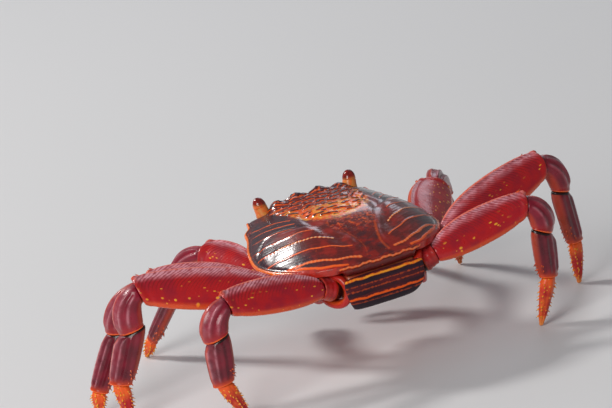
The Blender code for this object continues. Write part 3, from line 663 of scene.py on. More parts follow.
def new_group(name, inputs, outputs):
    """An empty node group, its sheet, and the sockets inside it."""
    tree = bpy.data.node_groups.new(name, "ShaderNodeTree")
    kinds = {"value": "NodeSocketFloat", "colour": "NodeSocketColor", "vector": "NodeSocketVector"}
    for label, (kind, default) in inputs.items():
        socket = tree.interface.new_socket(label, in_out="INPUT", socket_type=kinds[kind])
        if default is not None:
            socket.default_value = default
    for label, kind in outputs.items():
        tree.interface.new_socket(label, in_out="OUTPUT", socket_type=kinds[kind])
    sheet = Sheet(tree)
    start, end = sheet.add("NodeGroupInput"), sheet.add("NodeGroupOutput")
    return sheet, start.outputs, end.inputs


def shell_grain_group():
    """Fine pits and soft waves of shell, with a roughness that varies over them."""
    sheet, given, out = new_group(
        "Shell grain",
        {"Pit size": ("value", 0.5), "Roughness": ("value", 0.3), "Variation": ("value", 0.1)},
        {"Height": "value", "Roughness": "value", "Blotch": "value"},
    )
    spot = sheet.spot()
    pit_scale = sheet.calc("DIVIDE", 1.0, given["Pit size"])
    pits = sheet.add("ShaderNodeTexVoronoi", {"Vector": spot, "Scale": pit_scale})
    pit = sheet.step(pits.outputs["Distance"], 0.05, 0.42)
    wave = sheet.noise(spot, 0.35, 2.0)
    sheet.feed(out["Height"], sheet.plus(sheet.times(pit, 0.3), wave))
    blotch = sheet.noise(spot, 0.16, 4.0)
    spread = sheet.times(sheet.calc("SUBTRACT", blotch, 0.5), given["Variation"])
    sheet.feed(out["Roughness"], sheet.plus(given["Roughness"], spread))
    sheet.feed(out["Blotch"], blotch)
    return sheet.tree


def edge_band_group():
    """A band of the given width where a distance field is near zero, ragged by noise."""
    sheet, given, out = new_group(
        "Edge band",
        {"Distance": ("value", 1.0), "Width": ("value", 1.0), "Ragged": ("value", 0.2),
         "Soft": ("value", 0.25)},
        {"Band": "value"},
    )
    ragged = sheet.calc("SUBTRACT", sheet.noise(sheet.spot(), 0.9, 3.0), 0.5)
    moved = sheet.plus(given["Distance"], sheet.times(ragged, given["Ragged"]))
    spread = sheet.times(given["Width"], given["Soft"])
    inner = sheet.calc("SUBTRACT", given["Width"], spread)
    outer = sheet.plus(given["Width"], spread)
    sheet.feed(out["Band"], sheet.calc("SUBTRACT", 1.0, sheet.step(moved, inner, outer)))
    return sheet.tree


def freckle_group():
    """Scattered round freckles: how many, how big, and how far apart in millimetres."""
    sheet, given, out = new_group(
        "Freckles",
        {"Place": ("vector", None), "Spacing": ("value", 3.0), "Size": ("value", 0.3),
         "Share": ("value", 0.3)},
        {"Freckle": "value"},
    )
    scale = sheet.calc("DIVIDE", 1.0, given["Spacing"])
    cells = sheet.add("ShaderNodeTexVoronoi", {"Vector": given["Place"], "Scale": scale})
    parts = sheet.add("ShaderNodeSeparateColor", {"Color": cells.outputs["Color"]})
    there = sheet.calc("LESS_THAN", parts.outputs[0], given["Share"])
    size = sheet.times(given["Size"], sheet.plus(0.5, parts.outputs[1]))
    soft = sheet.times(size, 0.55)
    dot = sheet.calc("SUBTRACT", 1.0, sheet.step(cells.outputs["Distance"], soft, size))
    sheet.feed(out["Freckle"], sheet.times(dot, there))
    return sheet.tree


def rib_group():
    """Fine dark ribs along a counting field, and their height."""
    sheet, given, out = new_group(
        "Ribs",
        {"Count": ("value", 0.0), "Sharpness": ("value", 0.3)},
        {"Rib": "value", "Height": "value"},
    )
    wobble = sheet.times(sheet.noise(sheet.spot(), 0.25, 2.0), 0.8)
    at = sheet.calc("FRACT", sheet.plus(given["Count"], wobble))
    off = sheet.calc("ABSOLUTE", sheet.calc("SUBTRACT", at, 0.5))
    edge = sheet.calc("SUBTRACT", 0.5, given["Sharpness"])
    sheet.feed(out["Rib"], sheet.step(off, edge, 0.5))
    sheet.feed(out["Height"], sheet.step(off, 0.0, 0.5))
    return sheet.tree


GROUP_MAKERS = {
    "Shell grain": shell_grain_group,
    "Edge band": edge_band_group,
    "Freckles": freckle_group,
    "Ribs": rib_group,
}


def wrapped(sheet):
    """Places on a limb's skin in millimetres: along it and round it."""
    feeds = {"X": sheet.field("run"), "Y": sheet.field("girth"), "Z": sheet.field("phase")}
    return sheet.add("ShaderNodeCombineXYZ", feeds).outputs[0]


def use_group(sheet, name, feeds):
    tree = bpy.data.node_groups.get(name) or GROUP_MAKERS[name]()
    node = sheet.add("ShaderNodeGroup", node_tree=tree)
    for label, value in feeds.items():
        sheet.feed(node.inputs[label], value)
    return node.outputs


def new_material(name):
    material = bpy.data.materials.new(name)
    material.use_nodes = True
    sheet = Sheet(material.node_tree)
    shader = material.node_tree.nodes["Principled BSDF"]
    return material, sheet, shader


def finish_shell(sheet, shader, colour_socket, grain, height, bump, coat=0.3):
    """Feeds a shell material's colour, roughness and bump, and sets its gloss."""
    sheet.feed(shader.inputs["Base Color"], colour_socket)
    sheet.feed(shader.inputs["Roughness"], grain["Roughness"])
    shader.inputs["Coat Weight"].default_value = coat
    shader.inputs["Coat Roughness"].default_value = 0.13
    shader.inputs["Specular IOR Level"].default_value = 0.32
    feeds = {"Height": height, "Strength": 0.5, "Distance": bump * MM}
    sheet.feed(shader.inputs["Normal"], sheet.add("ShaderNodeBump", feeds).outputs[0])


def carapace_material(hues, shell):
    material, sheet, shader = new_material("carapace shell")
    grain = use_group(sheet, "Shell grain", {"Pit size": 0.7, "Roughness": 0.3, "Variation": 0.2})
    spot = sheet.spot()
    mottle = sheet.step(sheet.noise(spot, 0.4, 5.0), 0.4, 0.64)
    ground = sheet.blend(sheet.field("flank"), tone(hues.maroon), tone(hues.slate))
    stripes = use_group(sheet, "Ribs", {"Count": sheet.field("flow"), "Sharpness": 0.3})
    streaks = sheet.times(stripes["Rib"], 0.3)
    ground = sheet.blend(streaks, ground, sheet.blend(0.4, tone(hues.slate), tone(hues.red)))
    rust = sheet.step(sheet.noise(spot, 0.22, 4.0), 0.44, 0.62)
    inland = sheet.calc("SUBTRACT", 0.42, sheet.times(sheet.field("flank"), 0.34))
    ground = sheet.blend(sheet.times(rust, inland), ground, tone(hues.red))
    reddish = sheet.times(sheet.field("rusty"), sheet.plus(0.6, mottle))
    ground = sheet.blend(sheet.calc("MINIMUM", reddish, 1.0), ground, tone(hues.red))
    flecks = sheet.step(sheet.noise(spot, 0.75, 4.0), 0.47, 0.66)
    flecks = sheet.times(flecks, sheet.times(sheet.field("smear"), 0.8))
    ground = sheet.blend(flecks, ground, tone(hues.orange))
    blots = sheet.step(sheet.noise(sheet.spot((0.8, 1.3, 1.0)), 0.5, 5.0), 0.49, 0.6)
    blots = sheet.times(blots, sheet.times(sheet.field("middle"), 0.5))
    ground = sheet.blend(blots, ground, tone(hues.slate))
    warm = sheet.blend(sheet.step(sheet.noise(spot, 0.33, 3.0), 0.4, 0.6),
                       tone(hues.orange), tone(hues.yellow))
    ragged = sheet.calc("SUBTRACT", sheet.noise(spot, 0.5, 4.0), 0.5)
    front = sheet.plus(sheet.field("front"), sheet.times(ragged, 1.5))
    front = sheet.times(sheet.step(front, 0.25, 0.85), sheet.field("front"))
    ground = sheet.blend(front, ground, warm)
    band = sheet.plus(sheet.field("band"), sheet.times(ragged, 2.2))
    band = sheet.times(sheet.step(band, 0.35, 1.0), sheet.field("band"))
    glow = sheet.blend(sheet.step(sheet.noise(spot, 0.6, 4.0), 0.42, 0.6), tone(hues.orange),
                       tone(hues.yellow))
    ground = sheet.blend(band, ground, glow)
    dark = sheet.blend(mottle, tone(hues.maroon), tone(hues.slate))
    dash = sheet.step(sheet.field("dash"), 0.2, 0.55)
    ground = sheet.blend(sheet.times(dash, 0.95), ground, dark)
    streak = sheet.times(sheet.step(sheet.field("bright"), 0.2, 0.7), 0.9)
    ground = sheet.blend(streak, ground, tone(hues.orange))
    groove = use_group(sheet, "Edge band", {"Distance": sheet.field("groove"), "Width": 0.4,
                                            "Ragged": 0.8, "Soft": 0.9})["Band"]
    ground = sheet.blend(sheet.times(groove, 0.42), ground, tone(hues.orange))
    # Painted highlight: a pale lilac line along each dome's border, in place of reflected light
    painted_lilac_highlight = sheet.blend(0.35, tone(hues.painted_sheen_pink), tone(hues.slate))
    painted_dome_highlight = sheet.times(sheet.field("painted_dome_highlight"), sheet.plus(0.25, mottle))
    ground = sheet.blend(sheet.times(painted_dome_highlight, 0.55), ground, painted_lilac_highlight)
    line = use_group(sheet, "Edge band", {"Distance": sheet.field("line"), "Ragged": 0.9,
                                          "Width": 1.0, "Soft": 0.45})["Band"]
    ground = sheet.blend(line, ground, tone(hues.orange))
    bead = sheet.times(sheet.field("bead"), line)
    ground = sheet.blend(bead, ground, sheet.blend(0.4, tone(hues.yellow), tone(hues.tip)))
    rim = use_group(sheet, "Edge band", {"Distance": sheet.field("rim"), "Ragged": 0.5,
                                         "Width": shell.rim_width / MM, "Soft": 0.3})["Band"]
    ground = sheet.blend(rim, ground, sheet.blend(0.2, tone(hues.orange), tone(hues.yellow)))
    ground = sheet.blend(sheet.field("under"), ground, tone(hues.maroon))
    freckle = use_group(sheet, "Freckles", {"Place": spot, "Spacing": 1.5, "Size": 0.17,
                                            "Share": 0.3})
    dots = sheet.times(freckle["Freckle"],
                      sheet.plus(0.25, sheet.times(sheet.field("middle"), 0.6)))
    ground = sheet.blend(dots, ground, tone(hues.orange))
    relief = sheet.plus(grain["Height"], sheet.times(stripes["Height"], 0.3))
    finish_shell(sheet, shader, ground, grain, relief, 0.16, coat=0.65)
    return material


def leg_material(name, hues, legs, ground_low, ground_high, ribbed, crest, spots=0.0):
    """Glossy leg shell: ribs, freckles, painted sheen on upper edge and keels, bright joint borders."""
    material, sheet, shader = new_material(name)
    grain = use_group(sheet, "Shell grain", {"Pit size": 0.6, "Roughness": 0.3, "Variation": 0.22})
    across = sheet.field("across")
    patch = sheet.times(sheet.step(grain["Blotch"], 0.38, 0.66), 0.6)
    ground = sheet.blend(patch, tone(ground_low), tone(ground_high))
    ribs = use_group(sheet, "Ribs", {"Count": sheet.field("count"), "Sharpness": 0.2})
    ribbing = sheet.times(sheet.step(across, -0.5, 0.5), ribbed)
    shade = sheet.times(ribs["Rib"], sheet.times(ribbing, 0.7))
    ground = sheet.blend(shade, ground, tone(hues.maroon))
    # Painted sheen: pale pink on the upper edge in place of reflected light; crest sets its strength
    bloom = sheet.times(sheet.step(across, 0.3, 0.85), crest)
    streak = sheet.step(sheet.noise(sheet.spot(), 0.4, 4.0), 0.34, 0.64)
    streak = sheet.plus(0.35, sheet.times(streak, 0.65))
    crown = sheet.times(sheet.calc("SUBTRACT", 1.0, ribs["Height"]), ribbing)
    crown = sheet.plus(sheet.times(crown, 1.2), 1.0 - ribbed * 0.55)
    bloom = sheet.times(bloom, sheet.field("bloom"))
    bloom = sheet.calc("MULTIPLY", sheet.times(bloom, streak), crown, clamp=True)
    # Painted highlights along the keels, in the same pale pink
    pale = sheet.times(sheet.field("pale"), streak)
    ground = sheet.blend(bloom, ground, tone(hues.painted_sheen_pink))
    ground = sheet.blend(sheet.times(pale, 0.42), ground, tone(hues.painted_sheen_pink))
    thick = sheet.step(sheet.noise(sheet.spot(), 0.12, 2.0), 0.3, 0.46)
    low = sheet.times(sheet.step(across, 0.3, -0.1), sheet.times(thick, spots))
    freckle = use_group(sheet, "Freckles", {
        "Place": wrapped(sheet), "Spacing": legs.spot_spacing / MM, "Size": 0.24, "Share": 0.75})
    freckles = sheet.times(freckle["Freckle"], low)
    ground = sheet.blend(freckles, ground, tone(hues.yellow))
    lower = sheet.step(across, -0.72, -0.97)
    ground = sheet.blend(sheet.times(lower, 0.3 + 0.4 * spots), ground, tone(hues.orange))
    ground = sheet.blend(sheet.times(sheet.field("ridge"), 0.85), ground,
                         tone(hues.orange))
    glow = use_group(sheet, "Edge band", {"Distance": sheet.field("rim"), "Ragged": 1.5,
                                          "Width": 2.2, "Soft": 0.9})["Band"]
    ground = sheet.blend(sheet.times(glow, 0.45), ground, tone(hues.red))
    rim = use_group(sheet, "Edge band", {"Distance": sheet.field("rim"), "Ragged": 0.5,
                                         "Width": legs.rim_width / MM, "Soft": 0.4})["Band"]
    ground = sheet.blend(rim, ground, tone(hues.orange))
    # Soft skin, also painted near black as the shade in the joint gaps
    ground = sheet.blend(sheet.field("soft"), ground, tone(hues.membrane))
    ground = sheet.blend(sheet.field("tip"), ground, tone(hues.maroon))
    relief = sheet.plus(grain["Height"], sheet.times(ribs["Height"], ribbing))
    relief = sheet.plus(relief, freckles)
    finish_shell(sheet, shader, ground, grain, relief, 0.15, coat=0.3)
    return material


def foot_material(hues):
    material, sheet, shader = new_material("foot shell")
    grain = use_group(sheet, "Shell grain", {"Pit size": 0.5, "Roughness": 0.42, "Variation": 0.2})
    ground = sheet.blend(sheet.step(grain["Blotch"], 0.4, 0.62), tone(hues.foot), tone(hues.leg_red))
    bright = sheet.times(sheet.step(sheet.field("run"), 7.0, 1.0), 0.8)
    ground = sheet.blend(bright, ground, tone(hues.orange))
    freckle = use_group(sheet, "Freckles", {"Place": wrapped(sheet), "Spacing": 1.5, "Size": 0.34,
                                            "Share": 0.45})
    ground = sheet.blend(sheet.times(freckle["Freckle"], 0.85), ground, tone(hues.yellow))
    ground = sheet.blend(sheet.field("horn"), ground, tone(hues.stalk))
    ground = sheet.blend(sheet.step(sheet.field("tip"), 0.1, 0.5), ground, tone(hues.yellow))
    ground = sheet.blend(sheet.step(sheet.field("tip"), 0.6, 1.0), ground, tone(hues.maroon))
    relief = sheet.plus(grain["Height"], freckle["Freckle"])
    finish_shell(sheet, shader, ground, grain, relief, 0.16, coat=0.2)
    return material


def claw_material(hues, legs):
    material, sheet, shader = new_material("claw shell")
    grain = use_group(sheet, "Shell grain", {"Pit size": 0.6, "Roughness": 0.34, "Variation": 0.2})
    ground = sheet.blend(sheet.step(grain["Blotch"], 0.38, 0.6), tone(hues.leg_red),
                         tone(hues.leg_crimson))
    freckle = use_group(sheet, "Freckles", {"Place": sheet.spot(), "Spacing": 2.1, "Size": 0.28,
                                            "Share": 0.3})
    ground = sheet.blend(sheet.times(freckle["Freckle"], 0.85), ground, tone(hues.yellow))
    rim = use_group(sheet, "Edge band", {"Distance": sheet.field("rim"), "Ragged": 0.7,
                                         "Width": legs.rim_width / MM})["Band"]
    ground = sheet.blend(rim, ground, tone(hues.orange))
    ground = sheet.blend(sheet.field("horn"), ground, tone(hues.tip))
    ground = sheet.blend(sheet.field("tip"), ground, tone(hues.tip))
    finish_shell(sheet, shader, ground, grain, grain["Height"], 0.14)
    return material


def breast_material(hues):
    material, sheet, shader = new_material("breast shell")
    grain = use_group(sheet, "Shell grain", {"Pit size": 0.8, "Roughness": 0.4, "Variation": 0.2})
    ground = sheet.blend(sheet.step(grain["Blotch"], 0.35, 0.65), tone(hues.breast),
                         tone(hues.red))
    band = use_group(sheet, "Edge band", {"Distance": sheet.field("line"), "Width": 0.45,
                                          "Ragged": 0.3})["Band"]
    ground = sheet.blend(band, ground, tone(hues.maroon))
    finish_shell(sheet, shader, ground, grain, grain["Height"], 0.14, coat=0.25)
    return material


def tail_material(hues):
    material, sheet, shader = new_material("tail shell")
    grain = use_group(sheet, "Shell grain", {"Pit size": 0.6, "Roughness": 0.5, "Variation": 0.2})
    spot = sheet.spot((0.14, 1.0, 1.0))
    streak = sheet.step(sheet.noise(spot, 0.8, 4.0), 0.4, 0.62)
    ground = sheet.blend(sheet.times(streak, 0.6), tone(hues.maroon), tone(hues.red))
    flecks = sheet.step(sheet.noise(spot, 1.3, 3.0), 0.6, 0.7)
    ground = sheet.blend(sheet.times(flecks, 0.3), ground, tone(hues.orange))
    # Painted shade: the whole flap is darkened most of the way to slate
    ground = sheet.blend(0.7, ground, tone(hues.slate))
    ground = sheet.blend(sheet.field("pale"), ground, tone(hues.breast))
    # Dark bands near the root, and painted shade where the flap bends under
    ground = sheet.blend(sheet.field("dark"), ground, tone(hues.slate))
    faint = use_group(sheet, "Edge band", {"Distance": sheet.field("faint"), "Width": 0.2,
                                           "Ragged": 1.1, "Soft": 0.9})["Band"]
    ground = sheet.blend(sheet.times(faint, 0.4), ground, tone(hues.orange))
    line = use_group(sheet, "Edge band", {"Distance": sheet.field("line"), "Width": 0.42,
                                          "Ragged": 0.6, "Soft": 0.5})["Band"]
    ground = sheet.blend(line, ground, tone(hues.orange))
    bead = sheet.times(sheet.field("bead"), line)
    ground = sheet.blend(bead, ground, tone(hues.yellow))
    finish_shell(sheet, shader, ground, grain, grain["Height"], 0.14, coat=0.0)
    shader.inputs["Specular IOR Level"].default_value = 0.14
    return material


def membrane_material(hues):
    material, sheet, shader = new_material("joint membrane")
    grain = use_group(sheet, "Shell grain", {"Pit size": 0.3, "Roughness": 0.5, "Variation": 0.2})
    ground = sheet.blend(grain["Blotch"], tone(hues.membrane), tone(hues.maroon))
    finish_shell(sheet, shader, sheet.blend(0.3, tone(hues.membrane), ground), grain,
                 grain["Height"], 0.2, coat=0.0)
    return material


def stalk_material(hues):
    material, sheet, shader = new_material("eyestalk skin")
    grain = use_group(sheet, "Shell grain", {"Pit size": 0.4, "Roughness": 0.38, "Variation": 0.2})
    mottle = sheet.step(sheet.noise(sheet.spot(), 0.7, 4.0), 0.42, 0.6)
    ground = sheet.blend(sheet.times(mottle, 0.6), tone(hues.stalk), tone(hues.orange))
    ground = sheet.blend(sheet.field("horn"), ground, tone(hues.yellow))
    ground = sheet.blend(sheet.times(sheet.field("horn"), mottle), ground, tone(hues.maroon))
    finish_shell(sheet, shader, ground, grain, grain["Height"], 0.12)
    return material


def cornea_material(hues):
    material, sheet, shader = new_material("eye surface")
    grain = use_group(sheet, "Shell grain", {"Pit size": 0.16, "Roughness": 0.14, "Variation": 0.05})
    mottle = sheet.step(sheet.noise(sheet.spot(), 0.8, 3.0), 0.4, 0.66)
    ground = sheet.blend(sheet.times(mottle, 0.5), tone(hues.cornea), tone(hues.red))
    skin = sheet.blend(mottle, tone(hues.stalk), tone(hues.orange))
    ground = sheet.blend(sheet.field("seeing"), skin, ground)
    finish_shell(sheet, shader, ground, grain, grain["Height"], 0.03, coat=0.6)
    return material


# ---------------------------------------------------------------- carapace
def fall_of_top(x, y):
    """The smooth top of the carapace, before its edge is drawn down to the rim."""
    back = y - CROWN[1]
    height = np.full_like(x, CROWN[2])
    for far, (drop, reach, power) in ((np.abs(x), SIDE_FALL), (back, REAR_FALL), (-back, FRONT_FALL)):
        height = height - drop * (np.maximum(0.0, far) / reach) ** power
    return height


def steepness(x, y):
    """How late the top turns down to this place on the rim."""
    front = smooth_step((-y - 12.0) / 16.0) * smooth_step((30.0 - np.abs(x)) / 14.0)
    return EDGE_POWER[0] + (EDGE_POWER[1] - EDGE_POWER[0]) * front


def swell(x, y, spot, spread):
    return hump(x - spot[0], spread[0]) * hump(y - spot[1], spread[1])


def relief_of_top(x, y):
    """Lobes, grooves and gill domes, added to the smooth top."""
    across = np.abs(x)
    lift = sum(LOBES["height"] * swell(across, y, (off, LOBES["back"]), LOBES["spread"])
               for off in LOBES["places"])
    groove = SIDE_GROOVE
    groove_x = groove["off"] + groove["swing"] * np.cos((y - groove["middle"]) / groove["pitch"])
    along = smooth_step((y + 16.0) / 8.0) * smooth_step((27.0 - y) / 8.0)
    lift = lift - groove["depth"] * along * hump(across - groove_x, groove["width"])
    lift = lift - NECK_GROOVE["depth"] * swell(x, y, (0.0, NECK_GROOVE["back"]), NECK_GROOVE["spread"])
    return lift + GILL_DOME["height"] * swell(across, y, GILL_DOME["place"], GILL_DOME["spread"])


def distance_to_line(points, curve):
    """Each point's distance to a curve, and how far along the curve its nearest place is."""
    nearest = np.full(len(points), 1e6)
    run = np.zeros(len(points))
    travelled = 0.0
    for a, b in zip(curve[:-1], curve[1:]):
        span = b - a
        long = float(np.hypot(*span))
        t = np.clip((points - a) @ span / (long * long), 0.0, 1.0)
        off = np.hypot(*(points - a - t[:, None] * span).T)
        closer = off < nearest
        nearest = np.where(closer, off, nearest)
        run = np.where(closer, travelled + t * long, run)
        travelled += long
    return nearest, run


def offset_from_line(points, curve):
    """Signed distance to a curve that runs inward: positive behind it."""
    nearest = np.full(len(points), 1e6)
    signed = np.zeros(len(points))
    for a, b in zip(curve[:-1], curve[1:]):
        span = b - a
        t = np.clip((points - a) @ span / (span @ span), 0.0, 1.0)
        gap = points - a - t[:, None] * span
        off = np.hypot(*gap.T)
        side = np.where(span[0] * gap[:, 1] - span[1] * gap[:, 0] < 0, 1.0, -1.0)
        closer = off < nearest
        nearest = np.where(closer, off, nearest)
        signed = np.where(closer, off * side, signed)
    return signed


def flow_field(x, y):
    """A count that grows by 1 from each raised line to the next one behind it."""
    points = np.stack([np.abs(x), y], axis=1)
    offs = [offset_from_line(points, curve_through(line, 4)) for line, _, _ in SHELL_LINES]
    flow = np.where(offs[0] < 0, offs[0] / 4.5, len(offs) - 1 + offs[-1] / 5.0)
    for k, (ahead, behind) in enumerate(zip(offs, offs[1:])):
        between = (ahead >= 0) & (behind < 0)
        flow = np.where(between, k + ahead / np.maximum(ahead - behind, 1e-6), flow)
    return flow


def line_fields(x, y, width, bead_spacing):
    """Share of a line's half width to the nearest raised line, and how beaded it is there."""
    points = np.stack([np.abs(x), y], axis=1)
    best = np.full(len(x), 1e6)
    beads = np.zeros(len(x))
    for k, (line, beaded, share_wide) in enumerate(SHELL_LINES):
        wobble = 0.16 * np.sin(points[:, 0] * 0.7 + 2.1 * k) + 0.1 * np.sin(points[:, 1] * 1.5 + k)
        moved = points + np.stack([np.zeros(len(x)), wobble * np.where(x > 0, 1.0, -0.8)], axis=1)
        off, run = distance_to_line(moved, curve_through(line, 5))
        pulse = 0.5 + 0.5 * np.cos(2 * math.pi * run / bead_spacing)
        grown = 0.55 + 0.6 * smooth_step(run / 6.0) + 0.7 * beaded * (pulse - 0.5)
        off = off / (width / 2 * share_wide * grown)
        closer = off < best
        beads = np.where(closer, beaded * pulse * smooth_step((run - 6.0) / 8.0), beads)
        best = np.where(closer, off, best)
    return best, beads


def dash_rows(x, y, spacing):
    """Rows of short ridges across the front: 1 on a ridge, and 1 on the bright line behind it."""
    bent = y + 0.026 * x * x + 0.9 * np.sin(x * 0.33 + 0.5) + 0.35 * np.sin(x * 0.9 + y * 0.5)
    bent = bent + 0.3 * np.sin(x * 2.1 + y * 1.3)
    row = np.floor(bent / spacing)
    at = bent / spacing - row
    broken = np.sin(x * 0.62 + row * 2.4) + 0.7 * np.sin(x * 1.31 + row * 5.3)
    there = smooth_step((broken + 0.25) / 0.5)
    half = 0.14 + 0.13 * there
    ridge = smooth_step((half - np.abs(at - 0.36)) / 0.12) * there
    streak = smooth_step((broken + 1.1) / 0.5)
    bright = smooth_step((0.2 - np.abs(at - 0.76)) / 0.1) * streak
    return ridge, bright


def rim_at(turn_share):
    """Points of the rim, by the share of the way round it from the middle of the front."""
    other_half = [(-x, y, z) for x, y, z in reversed(HALF_RIM[1:-1])]
    curve = curve_through([*HALF_RIM, *other_half], 40, closed=True)
    curve = np.vstack([curve, curve[:1]])
    steps = np.hypot(*np.diff(curve[:, :2], axis=0).T)
    run = np.concatenate([[0.0], np.cumsum(steps)]) / steps.sum()
    return [np.interp(turn_share, run, curve[:, k]) for k in range(3)]


def carapace_form(ring, angle):
    """The bare carapace: its points, and how each lies to the rim, the wall and the rear."""
    top, wall_rings, under_rings = CARAPACE_RINGS
    ex, ey, ez = rim_at((angle + math.pi / 2) / (2 * math.pi) % 1.0)
    out = np.clip(ring / top, 0.0, 1.0)
    x, y = CROWN[0] + (ex - CROWN[0]) * out, CROWN[1] + (ey - CROWN[1]) * out
    draw = (ez - fall_of_top(ex, ey)) * out ** steepness(ex, ey)
    z = fall_of_top(x, y) + draw + relief_of_top(x, y) * (1.0 - out**12)

    down = np.clip((ring - top) / wall_rings, 0.0, 1.0)
    inset, depth = (np.interp(down, np.linspace(0.0, 1.0, len(WALL)), row) for row in zip(*WALL))
    rear = smooth_step((ey - 24.0) / 8.0) * smooth_step((18.0 - np.abs(ex)) / 4.0)
    inset = inset + (1.0 - inset) * REAR_WALL * rear
    corner_wall = smooth_step((ey - 17.0) / 7.0) * (1.0 - rear)
    inset = inset + (1.0 - inset) * 0.9 * corner_wall * (1.0 - smooth_step((-depth - 2.6) / 1.2))
    below = ring > top
    shrunk = inset * (1.0 - np.clip((ring - top - wall_rings) / under_rings, 0.0, 1.0))
    x = np.where(below, (ex - CROWN[0]) * shrunk + CROWN[0], x)
    y = np.where(below, (ey - CROWN[1]) * shrunk + CROWN[1], y)
    lowest = WALL[-1][1]
    z = np.where(below, ez + (lowest - ez) * depth / lowest, z)
    return SimpleNamespace(
        points=np.stack([x, y, z], axis=1), x=x, y=y, across=np.abs(x), rim_x=ex, rim_y=ey,
        inland=(1.0 - out) * np.hypot(ex - CROWN[0], ey - CROWN[1]), below=below, down=down,
        depth=depth, rear=rear, corner_wall=corner_wall, shaped=ring <= top + wall_rings * 0.9)


def mark_carapace(at, shell):
    """Adds to the form how near each point is to the rim, the lines, the dashes and a dome."""
    x, y, below = at.x, at.y, at.below
    bead_spacing = shell.bead_spacing / MM
    broken = 0.3 + 0.18 * np.sin(at.rim_x * 1.3) * np.sin(at.rim_x * 0.47)
    at.rim = np.where(below, -at.depth * 0.8, at.inland) + broken * smooth_step((-21.0 - at.rim_y) / 4.0)
    at.rim_kept = 1.0 - smooth_step((at.rim_y - 19.0) / 7.0)
    at.off_rim = 1.0 - (1.0 - smooth_step((at.rim - 0.8) / 1.2)) * at.rim_kept
    line, beads = line_fields(x, y, shell.line_width / MM, bead_spacing)
    at.line = np.where(below, FAR, line)
    at.flow = flow_field(x, y) * STRIPES
    sway = 0.25 * np.sin(x * 0.8) + 0.15 * np.sin(x * 2.3)
    at.margin = np.where(below & (at.rear > 0.2), np.abs(at.depth + 1.0 + sway) / 0.4, FAR)
    margin_bead = 0.5 + 0.5 * np.cos(2 * math.pi * x / bead_spacing)
    at.beads = np.where(at.margin < 2.0, margin_bead * 0.35, beads)
    at.behind = y - (YELLOW_BAND[0] + YELLOW_BAND[1] * x**2 + YELLOW_BAND[2] * x**4)
    at.ragged = 2.0 * np.sin(y * 1.4 + 0.4) + 1.2 * np.sin(y * 3.3 + x * 0.6)
    zone = smooth_step((-at.behind - 2.6) / 2.0) * smooth_step((24.0 + at.ragged - at.across) / 6.0)
    dashes, bright = dash_rows(x, y, shell.scale_spacing / MM)
    at.dashes = np.where(below, 0.0, dashes * zone)
    bright = bright * zone * smooth_step((21.0 + at.ragged - at.across) / 5.0)
    at.bright = np.where(below, 0.0, bright)
    at.flat = np.stack([at.across, y], axis=1)
    at.inside = offset_from_line(at.flat, curve_through(DOME_EDGE, 5))


def lift_of_carapace(at, shell):
    """How far each point stands out from the bare form."""
    lift = shell.line_height / MM * hump(at.line, 1.2) * (1.0 + 0.8 * at.beads) * at.off_rim
    lift += shell.scale_height / MM * (at.dashes - 0.35 * at.bright)
    lift += at.rim_kept * (0.3 * hump(at.rim - 0.4, 0.45) - 0.2 * hump(at.rim - 1.35, 0.45))
    lift += 0.34 * hump(at.margin, 1.4)
    shelf = smooth_step((at.inside + 0.7) / 1.9) * smooth_step((7.0 - at.inside) / 6.0)
    lip = 0.34 * shelf - 0.24 * hump(at.inside + 1.1, 0.8)
    lip *= 0.45 + 0.55 * smooth_step((at.across - 13.0) / 6.0)
    lip *= smooth_step((at.inland - 0.8) / 3.0) * smooth_step((33.0 - at.y) / 5.0)
    domes = smooth_step((at.across - 6.0) / 6.0) * smooth_step(at.behind / 6.0)
    domes = np.maximum(domes, smooth_step((at.across - 17.0) / 3.0))
    ripple = 0.014 * np.cos(2 * math.pi * at.flow) * domes * smooth_step((at.y + 24.0) / 6.0)
    lift += np.where(at.below, 0.0, lip + ripple)
    return lift * at.shaped


